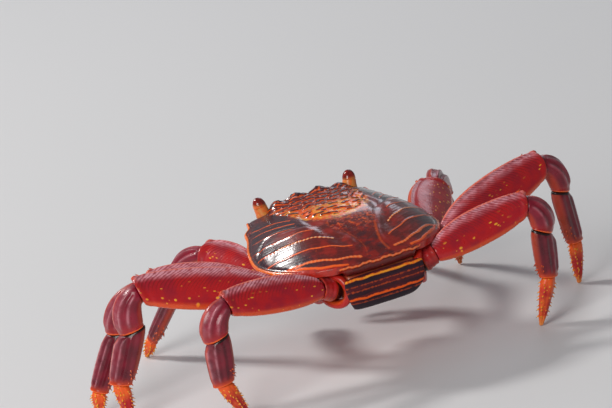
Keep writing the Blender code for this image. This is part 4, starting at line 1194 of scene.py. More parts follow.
def fields_of_carapace(at):
    """The fields that the carapace's material reads."""
    y, across, behind, inside = at.y, at.across, at.behind, at.inside
    last = offset_from_line(at.flat, curve_through(SHELL_LINES[-1][0], 5))
    corner = smooth_step((last - 0.2) / 0.5) * smooth_step((across - 12.0) / 4.0)
    corner = np.where(at.below, at.corner_wall, corner * smooth_step((y - 14.0) / 4.0))
    lobes = smooth_step((-20.0 - y) / 6.0)
    outer = smooth_step((-inside - 0.1) / 1.0) * smooth_step((across - 14.0) / 4.0)
    flank = smooth_step((across - 21.0 + 0.12 * (y + 5.0)) / 9.0)
    flank = np.maximum(flank, outer * smooth_step((y + 25.0) / 4.0))
    groove = distance_to_line(at.flat, curve_through(GROOVE_LINE, 5))[0] + 0.3 * (at.x > 0)
    middle = smooth_step((11.0 - across) / 4.0) * smooth_step(behind / 4.0)
    front = smooth_step(-behind / 5.0) * smooth_step((21.0 + at.ragged - across) / 10.0)
    # A painted highlight along each dome's front and inner border
    painted_dome_highlight = hump(inside - 0.7, 0.5) * smooth_step((across - 11.0) / 4.0)
    painted_dome_highlight = painted_dome_highlight * smooth_step((31.5 - across) / 5.0)
    painted_dome_highlight = painted_dome_highlight + 0.9 * hump(inside - 0.6, 0.45) * hump(y - 21.5, 4.5)
    on_top = {
        "middle": middle * smooth_step((-0.5 - inside) / 2.0),
        "smear": hump(behind - 5.0, 4.2) * smooth_step((11.0 - across) / 4.0),
        "front": front * smooth_step((25.0 + behind) / 15.0) * (1.0 - 0.7 * lobes),
        "band": hump(behind + 2.2, 3.4) * smooth_step((19.0 - across) / 7.0),
        "painted_dome_highlight": np.clip(painted_dome_highlight, 0.0, 1.0),
    }
    fields = {name: np.where(at.below, 0.0, values) for name, values in on_top.items()}
    fields.update(
        flank=np.clip(np.maximum(flank, 0.85 * lobes) - corner, 0.0, 1.0), rusty=corner,
        dash=at.dashes, bright=at.bright, bead=at.beads, flow=at.flow,
        groove=np.where(at.below, FAR, groove),
        line=np.minimum(np.where(at.off_rim > 0.05, at.line, FAR), at.margin),
        rim=np.where(at.below & (at.depth < -1.2), FAR, at.rim + FAR * (1.0 - at.rim_kept)),
        under=0.9 * smooth_step((at.down - 0.45) / 0.3) * (1.0 - 0.8 * at.corner_wall))
    return fields


def make_carapace(context):
    scene = context.scene
    shell, hues = scene.crab_shell, scene.crab_colours
    obj, ring, angle = ball_on_bench("carapace_shell", CARAPACE_TURNS, sum(CARAPACE_RINGS))
    at = carapace_form(ring, angle)
    move_points(obj.data, at.points)
    mark_carapace(at, shell)
    lift = lift_of_carapace(at, shell)
    place(obj, points_of(obj.data) + normals_of(obj.data) * lift[:, None])
    keep_fields(obj.data, **fields_of_carapace(at))
    bpy.ops.object.shade_smooth()
    dress(obj, [carapace_material(hues, shell)], "carapace")


# ---------------------------------------------------------------- segments of legs and claws
def segment_on_bench(name, long, width, outline, sides, count, bulge, lip, socket, knob):
    """One segment on the bench: +Z runs outward along the limb and +X is its upper edge."""
    outward = 3.0 / (2.0 + math.cos(2 * math.pi / sides))
    places = np.linspace(0.0, 1.0, count)
    rows = eased(outline, places)
    stations = [(spot * long, width * wide * outward, width * thick * outward,
                 width * bulge * (wide - outline[-1][1])) for spot, (wide, thick) in zip(places, rows)]
    obj = grow_tube(name, sides, stations)
    if socket:
        sink_socket(stations[-1][3], long, lip, socket)
    if knob:
        raise_knob(obj, stations[0][3], 0.0, lip * 1.4, knob)
    return obj


def bench_fields(obj, long, width, outline, bulge):
    """Each point of a segment, where it lies across from -1 to 1, and how deep in."""
    points = points_of(obj.data)
    rows = eased(outline, points[:, 2] / long)
    half_wide, half_thick = width * rows[:, 0] / 2, width * rows[:, 1] / 2
    middle = width * bulge * (rows[:, 0] - outline[-1][1])
    across = (points[:, 0] - middle) / half_wide
    return points, across, np.hypot(across, points[:, 1] / half_thick)


def seat(points, start, end, start_face, end_face, broad):
    """Carries a segment from the bench to its place, its ends slanted to the joints' faces."""
    along = (end - start).normalized()
    broad = (broad - along * broad.dot(along)).normalized()
    thin = along.cross(broad)
    long = (end - start).length
    place_along = points[:, 2] / long
    section = np.outer(points[:, 0], broad) + np.outer(points[:, 1], thin)
    near_start = 1.0 - smooth_step(place_along / SLANT_REACH)
    near_end = 1.0 - smooth_step((1.0 - place_along) / SLANT_REACH)
    slant_a = -(section @ np.array(start_face)) / along.dot(start_face)
    slant_b = -(section @ np.array(end_face)) / along.dot(end_face)
    clear_a = GAP / 2 / abs(along.dot(start_face))
    clear_b = GAP / 2 / abs(along.dot(end_face))
    shift = (slant_a + clear_a) * near_start + (slant_b - clear_b) * near_end
    return np.array(start) + np.outer(points[:, 2] + shift, along) + section


def seat_bowed(points, start, end, start_face, end_face, broad):
    """Carries a segment from the bench onto a bow that meets both joint faces squarely."""
    long = (end - start).length
    reach = long * CARPUS_BOW
    t = np.clip(points[:, 2:] / long, 0.0, 1.0)
    a, b, way_a, way_b, up = (np.array(v) for v in (start, end, start_face, end_face, broad))
    centre = (a * (1 + 2 * t) * (1 - t) ** 2 + b * t**2 * (3 - 2 * t)
              + way_a * reach * t * (1 - t) ** 2 + way_b * reach * t**2 * (t - 1))
    along = (b - a) * 6 * t * (1 - t) + way_a * reach * (1 - t) * (1 - 3 * t)
    along = along + way_b * reach * t * (3 * t - 2)
    along /= np.linalg.norm(along, axis=1)[:, None]
    level = up - along * (along @ up)[:, None]
    level /= np.linalg.norm(level, axis=1)[:, None]
    past = points[:, 2:] - t * long + GAP / 2 * (1 - 2 * t)
    return (centre + along * past + level * points[:, :1]
            + np.cross(along, level) * points[:, 1:2])


def leg_direction(heading, slope, side):
    """The way that a segment runs at its heading and slope, in degrees."""
    level, rise = math.cos(math.radians(slope)), math.sin(math.radians(slope))
    return facing(heading, side) * level + Vector((0.0, 0.0, rise))


def leg_plan(name, side_name):
    """The joints, the faces between segments and the broad ways of one walking leg."""
    leg = LEGS[name]
    side = SIDES[side_name]
    heading, lean, slopes = STANCE[side_name][name]
    x, y, z, socket_heading = SOCKETS[name]
    joints = [Vector((side * x, y, z)), mirrored(leg["start"], side)]
    for long, slope in zip(leg["lengths"], slopes):
        joints.append(joints[-1] + leg_direction(heading, slope, side) * long)
    foot_way = leg_direction(heading, slopes[3], side)
    joints.append(joints[-1] + foot_way * ((joints[-1].z + BODY_HEIGHT) / -foot_way.z))
    ways = [(b - a).normalized() for a, b in zip(joints, joints[1:])]
    faces = [facing(socket_heading, side)]
    faces += [(a + b).normalized() for a, b in zip(ways, ways[1:])]
    faces[2] = leg_direction(heading, (slopes[0] + slopes[1]) / 2 + KNEE_TURN, side)
    faces[3] = leg_direction(heading, (slopes[1] + slopes[2]) / 2 + WRIST_TURN, side)
    faces.append(Vector((0.0, 0.0, -1.0)))
    turn = math.radians(heading)
    forward = Vector((side * math.sin(turn), -math.cos(turn), 0.0))
    broads = []
    for way, part in zip(ways, LEAN_SHARES):
        tilt = math.radians(lean * part)
        broads.append(forward.cross(way) * side * math.cos(tilt) + forward * math.sin(tilt))
    return joints, faces, broads


def relief_of_segment(part, points, across, deep, long, legs):
    """How far each point of a leg segment stands out, where it is bright, and where a painted highlight
    lies on its keels.
    """
    z = points[:, 2]
    outside = smooth_step((deep - 0.82) / 0.1) * smooth_step(z / 1.0)
    crest = legs.crest_height / MM
    # pale marks a painted highlight along the keels of the carpus and propodus
    ridge, pale = np.zeros(len(z)), np.zeros(len(z))
    inland = smooth_step((z - 0.4) / 2.4) * smooth_step((long - 0.8 - z) / 2.6)
    lift = 0.14 * hump(long - z - 0.3, 0.5) - 0.12 * hump(long - z - 1.5, 0.6)
    if part == "merus":
        knob = smooth_step((across - 0.5) / 0.35) * hump(long - z - 1.2, 1.3)
        lift = 0.14 * hump(long - z - 1.1, 1.1) - 0.1 * hump(long - z - 3.2, 0.9) + 0.4 * knob
        slant = (z + 0.5 * points[:, 0] + 0.05 * (points[:, 0]) ** 2) / (legs.rib_spacing / MM)
        zone = smooth_step((across + 0.3) / 0.5) * smooth_step((0.86 - across) / 0.1)
        zone *= smooth_step((z - 1.5) / 2.0) * smooth_step((long - 2.5 - z) / 2.0)
        lift += legs.rib_depth / MM * np.cos(2 * math.pi * slant) * zone
        ridge = hump(across - 0.94, 0.05) * smooth_step((z - 2.0) / 3.0)
        ridge += 0.6 * smooth_step((across - 0.55) / 0.3) * smooth_step((z - long + 2.4) / 1.6)
        lift += crest * hump(across - 0.9, 0.06) - crest * 0.6 * hump(across - 0.76, 0.08)
        lift += 0.12 * hump(across + 0.86, 0.07)
    elif part == "carpus":
        slant = z / 2.0
        for spot, high in CARPUS_KEELS:
            lift += crest * high * hump(across - spot, 0.1) * inland
            pale += hump(across - spot - 0.03, 0.1) * inland * (spot < 0.8)
        lift -= crest * 1.3 * hump(across - 0.05, 0.14) * inland
        ridge = 0.4 * hump(across - 0.9, 0.08)
    elif part == "propodus":
        slant = z / 2.0
        for spot, high in PROPODUS_KEELS:
            lift += crest * high * hump(across - spot, 0.09) * inland
            pale += hump(across - spot - 0.02, 0.08) * inland * (spot > 0.0)
        for spot in PROPODUS_GROOVES:
            lift -= crest * 0.9 * hump(across - spot, 0.12) * inland
        ridge = 0.4 * hump(across - 0.9, 0.08) + hump(long - z, 1.4) * 0.8
    elif part == "base":
        slant = z / 2.0
        lift -= 0.3 * hump(z - long * 0.62, 0.45)
        ridge = 0.6 * hump(z - long * 0.4, 0.25)
    else:
        slant = z / 1.6
        for spot in DACTYL_GROOVES:
            lift -= 0.25 * hump(across - spot, 0.14)
    return lift * outside, ridge * outside, pale * outside, slant


def segment_spines(part, points, long, rng, spine_length):
    """Places for the spines of one segment, found on its finished surface."""
    if part not in SPINE_ROWS:
        return []
    spots, angles, lean, wide = SPINE_ROWS[part]
    lean = math.radians(lean)
    made = []
    for spot in spots:
        near = points[np.abs(points[:, 2] / long - spot) < 0.03]
        if not len(near):
            continue
        middle = near.mean(axis=0)
        turns = np.degrees(np.arctan2(near[:, 1] - middle[1], near[:, 0] - middle[0])) % 360.0
        reach = np.hypot(near[:, 0] - middle[0], near[:, 1] - middle[1])
        for angle in angles:
            want = (angle + rng.uniform(-7.0, 7.0)) % 360.0
            apart = np.abs((turns - want + 180.0) % 360.0 - 180.0)
            root = near[int(np.argmin(apart - 0.01 * reach))]
            outward = Vector((root[0] - middle[0], root[1] - middle[1], 0.0)).normalized()
            way = outward * math.cos(lean) + Vector((0.0, 0.0, math.sin(lean)))
            size = rng.uniform(0.7, 1.1)
            made.append((root - np.array(way) * SPINE_SINK, way, spine_length * size + SPINE_SINK,
                         wide * 2 * size))
    return made


def soft_skin_and_shade(part, points, across, long):
    """Where soft skin shows, painted near black as painted shade: at the root of a base, and in a wedge
    at the start of a propodus.
    """
    if part == "base":
        return smooth_step((long * 0.42 - points[:, 2]) / 0.5)
    if part == "propodus":
        wedge = smooth_step((0.6 - across) / 0.9)
        return smooth_step((wedge - points[:, 2]) / 0.25 + 0.5) * smooth_step(wedge / 0.3)
    return 0.0


def make_leg(name, side_name, legs, finishes, membrane):
    """One walking leg: its segments are shaped on the bench, then seated in the pose."""
    rng = random.Random(f"{name} {side_name}")
    joints, faces, broads = leg_plan(name, side_name)
    widths = (BASE_WIDTH, *LEGS[name]["widths"])
    for k, (part, slot, outline, sides, count, levels, bulge, lip, socket, knob) in enumerate(SEGMENTS):
        if part == "merus":
            outline = [(spot ** LEGS[name]["fullest"], wide, thick) for spot, wide, thick in outline]
        long = (joints[k + 1] - joints[k]).length
        node = f"{name}_{part}_{side_name}"
        obj = segment_on_bench(node + "_shell", long, widths[k], outline, sides, count, bulge,
                               lip, socket, knob)
        mark_joints(obj, long, widths[k], outline, bulge)
        smooth_out(obj, levels)
        points, across, deep = bench_fields(obj, long, widths[k], outline, bulge)
        points[:, 1] *= 1.0 - EDGE_SHARPENING * np.clip(across, 0.0, 1.0) ** 2
        move_points(obj.data, points)
        lift, ridge, pale, slant = relief_of_segment(part, points, across, deep, long, legs)
        points = points + normals_of(obj.data) * lift[:, None]
        move_points(obj.data, points)
        keep_fields(
            obj.data, across=across, ridge=np.clip(ridge, 0.0, 1.0), pale=np.clip(pale, 0.0, 1.0),
            bloom=PAINTED_SHEEN[side_name].get(name, 1.0), count=slant, run=points[:, 2],
            rim=np.abs(long - points[:, 2]) + THIN_RIMS.get(part, 0.0),
            girth=np.arctan2(points[:, 1], points[:, 0]) * widths[k] * 0.45,
            phase=rng.uniform(0.0, 90.0), soft=soft_skin_and_shade(part, points, across, long), tip=0.0)
        if part == "dactyl":
            keep_fields(obj.data, horn=smooth_step((points[:, 2] / long - 0.75) / 0.25))
        add_spines(obj, segment_spines(part, points, long, rng, legs.spine_length / MM))
        points = points_of(obj.data)
        ends = (joints[k], joints[k + 1], faces[k], faces[k + 1], broads[k])
        world = seat_bowed(points, *ends) if part == "carpus" else seat(points, *ends)
        if part == "dactyl":
            world[:, 2] = np.maximum(world[:, 2], -BODY_HEIGHT)
        place(obj, world)
        obj.data.validate()
        dress(obj, [finishes[part], membrane], node)


def mark_joints(obj, long, width, outline, bulge):
    """Faces inside the sockets get the second material."""
    bpy.ops.object.mode_set(mode="OBJECT")
    for face in obj.data.polygons:
        inner = True
        for index in face.vertices:
            x, y, z = obj.data.vertices[index].co
            wide, thick = eased(outline, z / long)[0]
            middle = width * bulge * (wide - outline[-1][1])
            if math.hypot((x - middle) / (width * wide / 2), y / (width * thick / 2)) > 0.98:
                inner = False
        face.material_index = 1 if inner and face.center.z > long / 2 else 0


def make_legs(context):
    scene = context.scene
    hues, legs = scene.crab_colours, scene.crab_legs
    membrane = membrane_material(hues)
    # After the two grounds: how ribbed, the strength of the painted sheen on the upper edge, how
    # freckled
    merus = leg_material("upper leg shell", hues, legs, hues.leg_red, hues.leg_crimson, 1.0, 0.8, 1.0)
    lower = leg_material("lower leg shell", hues, legs, hues.leg_wine, hues.leg_crimson, 0.0, 0.12)
    wrist = leg_material("leg joint shell", hues, legs, hues.leg_crimson, hues.leg_wine, 0.0, 0.2)
    base = leg_material("leg base shell", hues, legs, hues.leg_red, hues.maroon, 0.0, 0.1)
    edging = leg_material("leg socket shell", hues, legs, hues.red, hues.leg_red, 0.0, 0.1)
    finishes = {"base": base, "merus": merus, "carpus": wrist, "propodus": lower,
                "dactyl": foot_material(hues)}
    for side_name, side in SIDES.items():
        for name in LEGS:
            make_leg(name, side_name, legs, finishes, membrane)
            make_collar(name, side_name, side, edging)


def make_collar(name, side_name, side, material):
    """The raised edge of the body round the root of a leg."""
    x, y, z, heading = SOCKETS[name]
    major, minor, out_by = COLLARS[name]
    at_rest()
    bpy.ops.mesh.primitive_torus_add(major_radius=major, minor_radius=minor,
                                     major_segments=64, minor_segments=18)
    obj = bpy.context.object
    obj.name = obj.data.name = f"{name}_collar_{side_name}"
    across, tall, deep = points_of(obj.data).T
    angle = np.arctan2(tall, across)
    flare = 1.0 + 0.1 * np.cos(angle * 2.0) + 0.05 * deep
    out = facing(heading, side)
    shape = np.stack([across * flare * 0.96, tall * flare, deep * 1.25 + out_by], axis=1)
    place(obj, carried(shape, (side * x, y, z), (-out.y, out.x, 0.0), (0.0, 0.0, 1.0), out))
    inward = major - np.hypot(across, tall)
    keep_fields(obj.data, ridge=0.9 * hump(inward - minor * 0.7, minor * 0.25) * (deep > 0),
                rim=FAR, run=deep, girth=angle * major, phase=major, across=0.0, count=0.0,
                tip=0.0, soft=0.0, pale=0.0, bloom=0.0)
    face_outwards()
    bpy.ops.object.shade_smooth()
    dress(obj, [material], None)


# ---------------------------------------------------------------- claws
def make_claws(context):
    scene = context.scene
    hues, legs = scene.crab_colours, scene.crab_legs
    shell = claw_material(hues, legs)
    membrane = bpy.data.materials.get("joint membrane") or membrane_material(hues)
    for side_name, side in SIDES.items():
        x, y, z, heading = SOCKETS["claw"]
        spots = [Vector((side * x, y, z))] + [mirrored(p, side) for p in CLAW_POINTS.values()]
        ways = [(b - a).normalized() for a, b in zip(spots, spots[1:])]
        faces = [facing(heading, side), (ways[0] + ways[1]).normalized(),
                 (ways[1] + ways[2]).normalized(), ways[3]]
        arm_broad, outer = mirrored(ARM_BROAD, side), mirrored(PALM_BROAD, side)
        plans = (("arm", ARM_OUTLINE, arm_broad, 0.05, 1.6, 0.0),
                 ("wrist", WRIST_OUTLINE, arm_broad, 0.0, 1.6, 1.0),
                 ("palm", PALM_OUTLINE, outer, 0.0, 0.0, 1.0))
        for k, (part, outline, broad, bulge, socket, knob) in enumerate(plans):
            long = (spots[k + 1] - spots[k]).length
            width = CLAW_WIDTHS[part]
            node = f"claw_{part}_{side_name}"
            obj = segment_on_bench(node + "_shell", long, width, outline, 14, 8, bulge, 0.4,
                                   socket, knob)
            mark_joints(obj, long, width, outline, bulge)
            smooth_out(obj, 3)
            points, across, deep = bench_fields(obj, long, width, outline, bulge)
            points[:, 1] *= 1.0 - EDGE_SHARPENING * np.clip(across, 0.0, 1.0) ** 2
            lip = 0.14 * hump(long - points[:, 2] - 0.4, 0.5) * (deep > 0.9)
            points = points + normals_of(obj.data) * lip[:, None]
            rim = np.abs(long - points[:, 2]) if socket else FAR
            keep_fields(obj.data, rim=rim, horn=0.0, tip=0.0)
            move_points(obj.data, points)
            if part == "wrist":
                root = (-width * 0.084, width * 0.36, long * 0.6)
                add_spines(obj, [(root, (-0.2, side, 0.5), 3.2, 2.4)])
            place(obj, seat(points_of(obj.data), spots[k], spots[k + 1], faces[k], faces[k + 1],
                            broad))
            if part == "palm":
                fixed = finger_piece("fixed_finger", spots, ways, outer, -1)
                join_to(obj, fixed)
            dress(obj, [shell, membrane], node)
        free = finger_piece(f"claw_finger_{side_name}_shell", spots, ways, outer, 1)
        dress(free, [shell], f"claw_finger_{side_name}")


def finger_piece(name, spots, ways, outer, bend):
    """A claw finger that bows outward and ends in a blunt, pale tip."""
    across = (outer - ways[3] * outer.dot(ways[3])).normalized()
    if bend > 0:
        root = spots[3] + across * FINGER_SPREAD + ways[3] * GAP
        tip = spots[4] + across * FINGER_CLOSING
    else:
        root = spots[3] - across * FINGER_SPREAD - ways[3] * FINGER_ROOT
        tip = spots[4] - across * FINGER_CLOSING
    way = (tip - root).normalized()
    thin = way.cross(across).normalized()
    long = (tip - root).length
    places = np.linspace(0.0, 1.0, 9)
    rows = eased(FINGER_OUTLINE, places)
    width = CLAW_WIDTHS["finger"]
    obj = grow_tube(name, 12, [(spot * long, width * wide * 1.03, width * wide * 1.03, bend * bow)
                               for spot, (wide, bow) in zip(places, rows)])
    smooth_out(obj, 2)
    points = points_of(obj.data)
    z = points[:, 2] / long
    inner = smooth_step(-bend * points[:, 0] / (width * 0.3) - 0.2)
    teeth = 0.35 * np.maximum(0.0, np.sin(z * 26.0)) * inner * smooth_step((z - 0.15) / 0.2)
    points[:, 0] -= bend * teeth * (z < 0.86)
    keep_fields(obj.data, rim=FAR, horn=smooth_step((z - 0.55) / 0.2), tip=0.0)
    place(obj, carried(points, root, across, thin, way))
    return obj


def join_to(obj, part):
    """Joins a part to a piece."""
    at_rest()
    part.select_set(True)
    obj.select_set(True)
    bpy.context.view_layer.objects.active = obj
    bpy.ops.object.join()


# ---------------------------------------------------------------- eyes and feelers
def round_piece(name, outline, width, root, tip):
    """A turned form: its outline is shares of the way from root to tip, and of the width."""
    long = (tip - root).length
    obj = grow_tube(name, 16, [(spot * long, wide * width, wide * width, 0.0)
                               for spot, wide in outline])
    smooth_out(obj, 3)
    points = points_of(obj.data)
    way = (tip - root).normalized()
    across = way.orthogonal().normalized()
    place(obj, carried(points, root, across, way.cross(across), way))
    return obj, points[:, 2] / long


def make_eyes(context):
    hues = context.scene.crab_colours
    stalk, cornea = stalk_material(hues), cornea_material(hues)
    width = STALK_WIDTH * ROUNDING_LOSS
    for side_name, side in SIDES.items():
        ends = mirrored(EYE_ROOT, side), mirrored(EYE_TIP, side)
        obj, along = round_piece(f"eyestalk_{side_name}_skin", STALK_OUTLINE, width, *ends)
        keep_fields(obj.data, horn=0.7 * smooth_step((0.5 - along) / 0.4))
        dress(obj, [stalk], f"eyestalk_{side_name}")
        obj, along = round_piece(f"cornea_{side_name}_surface", CORNEA_OUTLINE, width, *ends)
        tilt = normals_of(obj.data) @ np.array((side * -0.06, 0.04, 0.0))
        keep_fields(obj.data, seeing=smooth_step((along + tilt - 0.66) / 0.15))
        dress(obj, [cornea], f"cornea_{side_name}")


def make_feelers(context):
    scene = context.scene
    hues, legs = scene.crab_colours, scene.crab_legs
    skin = leg_material("feeler skin", hues, legs, hues.leg_red, hues.red, 0.0, 0.1)
    for side_name, side in SIDES.items():
        root = mirrored(FEELER_ROOT, side)
        reach = mirrored(FEELER_REACH, side)
        stations = []
        for spot in np.linspace(0.0, 1.0, FEELER_RINGS):
            ring = 1.0 - 0.1 * (int(spot * (FEELER_RINGS - 1)) % 2)
            wide = FEELER_WIDTH * (1.0 - 0.66 * spot) * ring
            stations.append((spot * FEELER_LENGTH, wide, wide, 0.0))
        obj = grow_tube(f"feeler_{side_name}_skin", 10, stations)
        smooth_out(obj, 2)
        points = points_of(obj.data)
        t = points[:, 2] / FEELER_LENGTH
        centre = np.array(root) + np.stack([reach.x * t * t, reach.y * t, reach.z * t * t], axis=1)
        way = np.stack([2 * reach.x * t, np.full_like(t, reach.y), 2 * reach.z * t], axis=1)
        way /= np.linalg.norm(way, axis=1)[:, None]
        across = np.cross(way, (0.0, 0.0, 1.0))
        across /= np.linalg.norm(across, axis=1)[:, None]
        other = np.cross(way, across)
        place(obj, centre + across * points[:, :1] + other * points[:, 1:2])
        keep_fields(obj.data, run=points[:, 2], rim=FAR, across=0.0, ridge=0.0, pale=0.0,
                    bloom=0.0, count=0.0, tip=0.0, soft=0.0, girth=0.0, phase=0.0)
        dress(obj, [skin], f"feeler_{side_name}")


# ---------------------------------------------------------------- breast, tail flap and mouth
def breast_corners():
    """Corners of the breast seen from above, where the faces to the limbs' roots meet."""
    faces = [(Vector((0.0, BREAST_FRONT, 0.0)), Vector((0.0, -1.0, 0.0)))]
    faces += [(Vector((x, y, 0.0)), facing(heading)) for x, y, _, heading in SOCKETS.values()]
    faces.append((Vector((0.0, BREAST_REAR, 0.0)), Vector((0.0, 1.0, 0.0))))
    half = []
    for (place_a, way_a), (place_b, way_b) in zip(faces, faces[1:]):
        reach_a, reach_b = place_a.dot(way_a) - GAP / 2, place_b.dot(way_b) - GAP / 2
        turn = way_a.x * way_b.y - way_a.y * way_b.x
        half.append(((reach_a * way_b.y - reach_b * way_a.y) / turn,
                     (way_a.x * reach_b - way_b.x * reach_a) / turn))
    return half + [(-x, y) for x, y in reversed(half)]


def make_breast(context):
    hues = context.scene.crab_colours
    corners = np.array(breast_corners())
    rings = 72
    obj, ring, angle = ball_on_bench("breast_shell", 192, rings)
    way = np.stack([np.cos(angle), np.sin(angle)], axis=1)
    closed = np.vstack([corners, corners[:1]]) - np.array((0.0, BREAST_MIDDLE))
    reach = np.full(len(ring), 1e6)
    for a, b in zip(closed[:-1], closed[1:]):
        side_way = np.array(((b - a)[1], -(b - a)[0])) / np.hypot(*(b - a))
        if side_way @ a < 0:
            side_way = -side_way
        slope = way @ side_way
        off = (side_way @ a) / np.maximum(slope, 1e-6)
        reach = np.where(slope > 1e-6, np.minimum(reach, off), reach)
    size, z = eased(BREAST_SECTION, ring / rings).T
    x, y = way[:, 0] * reach * size, BREAST_MIDDLE + way[:, 1] * reach * size
    seams = np.full(len(x), FAR)
    for back in BREAST_SEAMS:
        off = np.abs(y - back - 0.12 * np.abs(x)) + np.maximum(0.0, 5.5 - np.abs(x))
        seams = np.minimum(seams, off)
    low = z < -12.5
    seams = np.where(low, seams, FAR)
    place(obj, np.stack([x, y, z + 0.5 * hump(seams, 0.6) * low], axis=1))
    keep_fields(obj.data, line=seams)
    bpy.ops.object.shade_smooth()
    dress(obj, [breast_material(hues)], "breast")


def make_tail(context):
    hues = context.scene.crab_colours
    path = np.array(TAIL_PATH)[:, :2]
    steps = np.linalg.norm(np.diff(path, axis=0), axis=1)
    run = np.concatenate([[0.0], np.cumsum(steps)])
    long = run[-1]
    table = [(s, y, z, half) for s, (y, z, half) in zip(run, TAIL_PATH)]
    stations = [(s, 2.0, 2.0, 0.0) for s in np.linspace(0.0, long, 44)]
    obj = grow_tube("tail_flap_shell", 20, stations)
    smooth_out(obj, 2)
    points = points_of(obj.data)
    s = np.clip(points[:, 2], 0.0, long)
    across, out = squared_section(points, 0.55, 0.75)
    rows = eased(table, s)
    ahead = eased(table, np.clip(s + 0.4, 0.0, long))
    behind = eased(table, np.clip(s - 0.4, 0.0, long))
    way = (ahead - behind)[:, :2]
    way /= np.linalg.norm(way, axis=1)[:, None]
    thick = np.stack([np.zeros(len(s)), -way[:, 1], way[:, 0]], axis=1)
    x = across * rows[:, 2]
    gap = np.min(np.abs(s[:, None] - np.array([TAIL_JOINTS]) * long), axis=1)
    strong = np.array([TAIL_LINES]) + 0.16 * np.sin(x * 0.9)[:, None]
    gap = np.where(s < 14.0, np.min(np.abs(s[:, None] - strong), axis=1), gap)
    faint = np.min(np.abs(s[:, None] - np.array([TAIL_FAINT_LINES])), axis=1)
    shown = np.clip(out, 0.0, 1.0) * (out > 0.1)
    step = 0.32 * hump(gap, 0.42) - 0.28 * hump(gap - 0.95, 0.4) + 0.1 * hump(faint, 0.3)
    step = np.where(s < 13.0, step, -0.45 * hump(gap, 0.35))
    height = out * TAIL_THICKNESS / 2 + step * shown
    place(obj, np.stack([x, rows[:, 0], rows[:, 1]], axis=1) + thick * height[:, None])
    # Painted shade where the flap bends under, and dark bands 2.4 and 6.6 mm from its root
    dark = 0.9 * smooth_step((s - 8.6) / 1.6) * (1.0 - smooth_step((s - 15.0) / 5.0))
    dark = dark + 0.9 * hump(s - 2.4, 1.1) + 0.5 * hump(s - 6.6, 0.8)
    pulse = 0.5 + 0.5 * np.cos(2 * math.pi * x / 1.4)
    keep_fields(obj.data, line=np.where(out > 0.1, gap, FAR), faint=np.where(out > 0.1, faint, FAR),
                dark=np.clip(dark, 0.0, 1.0), bead=pulse * hump(s - 1.0, 0.8),
                pale=smooth_step((s - 15.0) / 8.0))
    dress(obj, [tail_material(hues)], "tail_flap")


def make_mouth(context):
    hues = context.scene.crab_colours
    shell = bpy.data.materials.get("breast shell") or breast_material(hues)
    plate = MOUTH_PLATE
    for side_name, side in SIDES.items():
        tall = plate["top"] - plate["bottom"]
        stations = [(spot * tall, 2.0, 2.0, 0.0) for spot in np.linspace(0.0, 1.0, 16)]
        obj = grow_tube(f"mouth_plate_{side_name}_shell", 14, stations)
        smooth_out(obj, 2)
        points = points_of(obj.data)
        t = np.clip(points[:, 2] / tall, 0.0, 1.0)
        across, out = squared_section(points, 0.6, 0.7)
        outer = plate["outer"] * (1.0 - 0.4 * t * t)
        inner = plate["inner"]
        deep = plate["thickness"] * (1.0 - 0.35 * t) * 0.95
        seam = np.abs(t - 0.45 + 0.05 * across) * tall
        x = side * ((outer + inner) / 2 + across * (outer - inner) / 2)
        y = BREAST_FRONT - GAP - deep / 2 - out * deep / 2 + 0.35 * hump(seam, 0.4) * (out > 0.2)
        z = plate["top"] - t * tall
        place(obj, np.stack([x, y, z], axis=1))
        keep_fields(obj.data, line=np.where(out > 0.2, seam, FAR))
        face_outwards()
        dress(obj, [shell], f"mouth_plate_{side_name}")


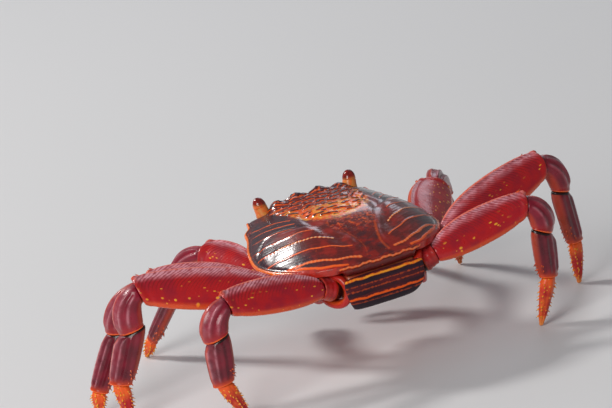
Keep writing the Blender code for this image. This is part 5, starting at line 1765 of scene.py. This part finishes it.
# ---------------------------------------------------------------- stage
def make_stage(context):
    scene = context.scene
    stage = scene.crab_stage
    at_rest()
    bpy.ops.mesh.primitive_plane_add(size=16.0, location=(0.0, 0.0, 0.0))
    floor = context.object
    floor.name = floor.data.name = "floor"
    material, sheet, shader = new_material("floor")
    cloud = sheet.noise(sheet.spot((0.001, 0.001, 0.001)), 3.0, 2.0)
    duller = tone([0.97 * part for part in stage.floor])
    sheet.feed(shader.inputs["Base Color"], sheet.blend(cloud, tone(stage.floor), duller))
    shader.inputs["Roughness"].default_value = 0.8
    floor.data.materials.append(material)

    yaw, rise, roll = stage.yaw, stage.elevation, stage.roll
    away = Vector((-math.sin(yaw), -math.cos(yaw), 0.0))
    right = Vector((-math.cos(yaw), math.sin(yaw), 0.0))
    up = Vector((0.0, 0.0, 1.0))
    sight = away * math.cos(rise) - up * math.sin(rise)
    lifted = up * math.cos(rise) + away * math.sin(rise)
    across = right * math.cos(roll) + lifted * math.sin(roll)
    upward = lifted * math.cos(roll) - right * math.sin(roll)
    wide, tall = VIEW["size"]
    off_x = (wide / 2 - VIEW["middle"][0]) / VIEW["scale"]
    off_y = (tall / 2 - VIEW["middle"][1]) / VIEW["scale"]
    target = BODY + (across * off_x - upward * off_y) * MM
    lens = bpy.data.cameras.new("view")
    camera = bpy.data.objects.new("view", lens)
    scene.collection.objects.link(camera)
    scene.camera = camera
    lens.sensor_width = VIEW["sensor"]
    lens.lens = VIEW["sensor"] * stage.distance / (wide / VIEW["scale"] * MM)
    lens.clip_start, lens.clip_end = 0.05, 40.0
    matrix = camera.matrix_world.copy()
    for row in range(3):
        matrix[row][0], matrix[row][1], matrix[row][2] = across[row], upward[row], -sight[row]
        matrix[row][3] = (target - sight * stage.distance)[row]
    camera.matrix_world = matrix

    lamps = (
        ("key", stage.key_power, Vector((0.56, -0.8, 0.86)), 0.22, (1.0, 0.98, 0.95)),
        ("fill", stage.fill_power, -right * 0.55 + up * 0.6 - away * 0.95, 0.6, (1.0, 0.98, 0.96)),
        ("back", stage.back_power, away + up * 0.5 + right * 0.2, 0.34, (0.82, 0.88, 1.0)),
    )
    for name, power, offset, size, tint in lamps:
        data = bpy.data.lights.new(name, "AREA")
        data.energy, data.size, data.color = power, size, tint
        lamp = bpy.data.objects.new(name, data)
        lamp.location = BODY + offset
        lamp.rotation_euler = (-offset).to_track_quat("-Z", "Y").to_euler()
        scene.collection.objects.link(lamp)
    world = bpy.data.worlds.new("room")
    world.use_nodes = True
    background = world.node_tree.nodes["Background"]
    background.inputs["Color"].default_value = (0.94, 0.96, 1.0, 1.0)
    background.inputs["Strength"].default_value = stage.sky
    scene.world = world
    scene.view_settings.view_transform = "Standard"


# ---------------------------------------------------------------- add-on
class CrabCarapace(bpy.types.Operator):
    """Model the carapace, with its lobes, raised lines and bright rim"""

    bl_idname = "crab.carapace"
    bl_label = "Carapace"

    def execute(self, context):
        make_carapace(context)
        return {"FINISHED"}


class CrabBreast(bpy.types.Operator):
    """Model the breast under the body"""

    bl_idname = "crab.breast"
    bl_label = "Breast"

    def execute(self, context):
        make_breast(context)
        return {"FINISHED"}


class CrabTail(bpy.types.Operator):
    """Model the tail flap that is folded under the body"""

    bl_idname = "crab.tail"
    bl_label = "Tail flap"

    def execute(self, context):
        make_tail(context)
        return {"FINISHED"}


class CrabMouth(bpy.types.Operator):
    """Model the two plates over the mouth"""

    bl_idname = "crab.mouth"
    bl_label = "Mouth plates"

    def execute(self, context):
        make_mouth(context)
        return {"FINISHED"}


class CrabLegs(bpy.types.Operator):
    """Model the eight walking legs, their spines and the collars at their roots"""

    bl_idname = "crab.legs"
    bl_label = "Walking legs"

    def execute(self, context):
        make_legs(context)
        return {"FINISHED"}


class CrabClaws(bpy.types.Operator):
    """Model the two claws"""

    bl_idname = "crab.claws"
    bl_label = "Claws"

    def execute(self, context):
        make_claws(context)
        return {"FINISHED"}


class CrabEyes(bpy.types.Operator):
    """Model the two eyes on their stalks"""

    bl_idname = "crab.eyes"
    bl_label = "Eyes"

    def execute(self, context):
        make_eyes(context)
        return {"FINISHED"}


class CrabFeelers(bpy.types.Operator):
    """Model the two short feelers"""

    bl_idname = "crab.feelers"
    bl_label = "Feelers"

    def execute(self, context):
        make_feelers(context)
        return {"FINISHED"}


class CrabStage(bpy.types.Operator):
    """Set up the floor, the soft lights and the camera"""

    bl_idname = "crab.stage"
    bl_label = "Studio stage"

    def execute(self, context):
        make_stage(context)
        return {"FINISHED"}


OPERATORS = (CrabStage, CrabCarapace, CrabBreast, CrabTail, CrabMouth, CrabLegs, CrabClaws,
             CrabEyes, CrabFeelers)
SETTINGS = {
    "crab_shell": CrabShellSettings,
    "crab_legs": CrabLegSettings,
    "crab_colours": CrabColours,
    "crab_stage": CrabStageSettings,
}


class CrabPanel(bpy.types.Panel):
    """Lists the crab's settings and the pieces to model"""

    bl_idname = "VIEW3D_PT_crab"
    bl_label = "Sally lightfoot crab"
    bl_space_type = "VIEW_3D"
    bl_region_type = "UI"
    bl_category = "Crab"

    def draw(self, context):
        layout = self.layout
        for name, group in SETTINGS.items():
            box = layout.box()
            for prop in group.__annotations__:
                box.prop(getattr(context.scene, name), prop)
        for operator in OPERATORS:
            layout.operator(operator.bl_idname)


def register():
    for kind in (*SETTINGS.values(), *OPERATORS, CrabPanel):
        bpy.utils.register_class(kind)
    for name, group in SETTINGS.items():
        setattr(bpy.types.Scene, name, bpy.props.PointerProperty(type=group))


def unregister():
    for name in SETTINGS:
        delattr(bpy.types.Scene, name)
    for kind in reversed((*SETTINGS.values(), *OPERATORS, CrabPanel)):
        bpy.utils.unregister_class(kind)


def main():
    register()
    for operator in OPERATORS:
        section, name = operator.bl_idname.split(".")
        getattr(getattr(bpy.ops, section), name)()
    at_rest()


if __name__ == "__main__":
    main()
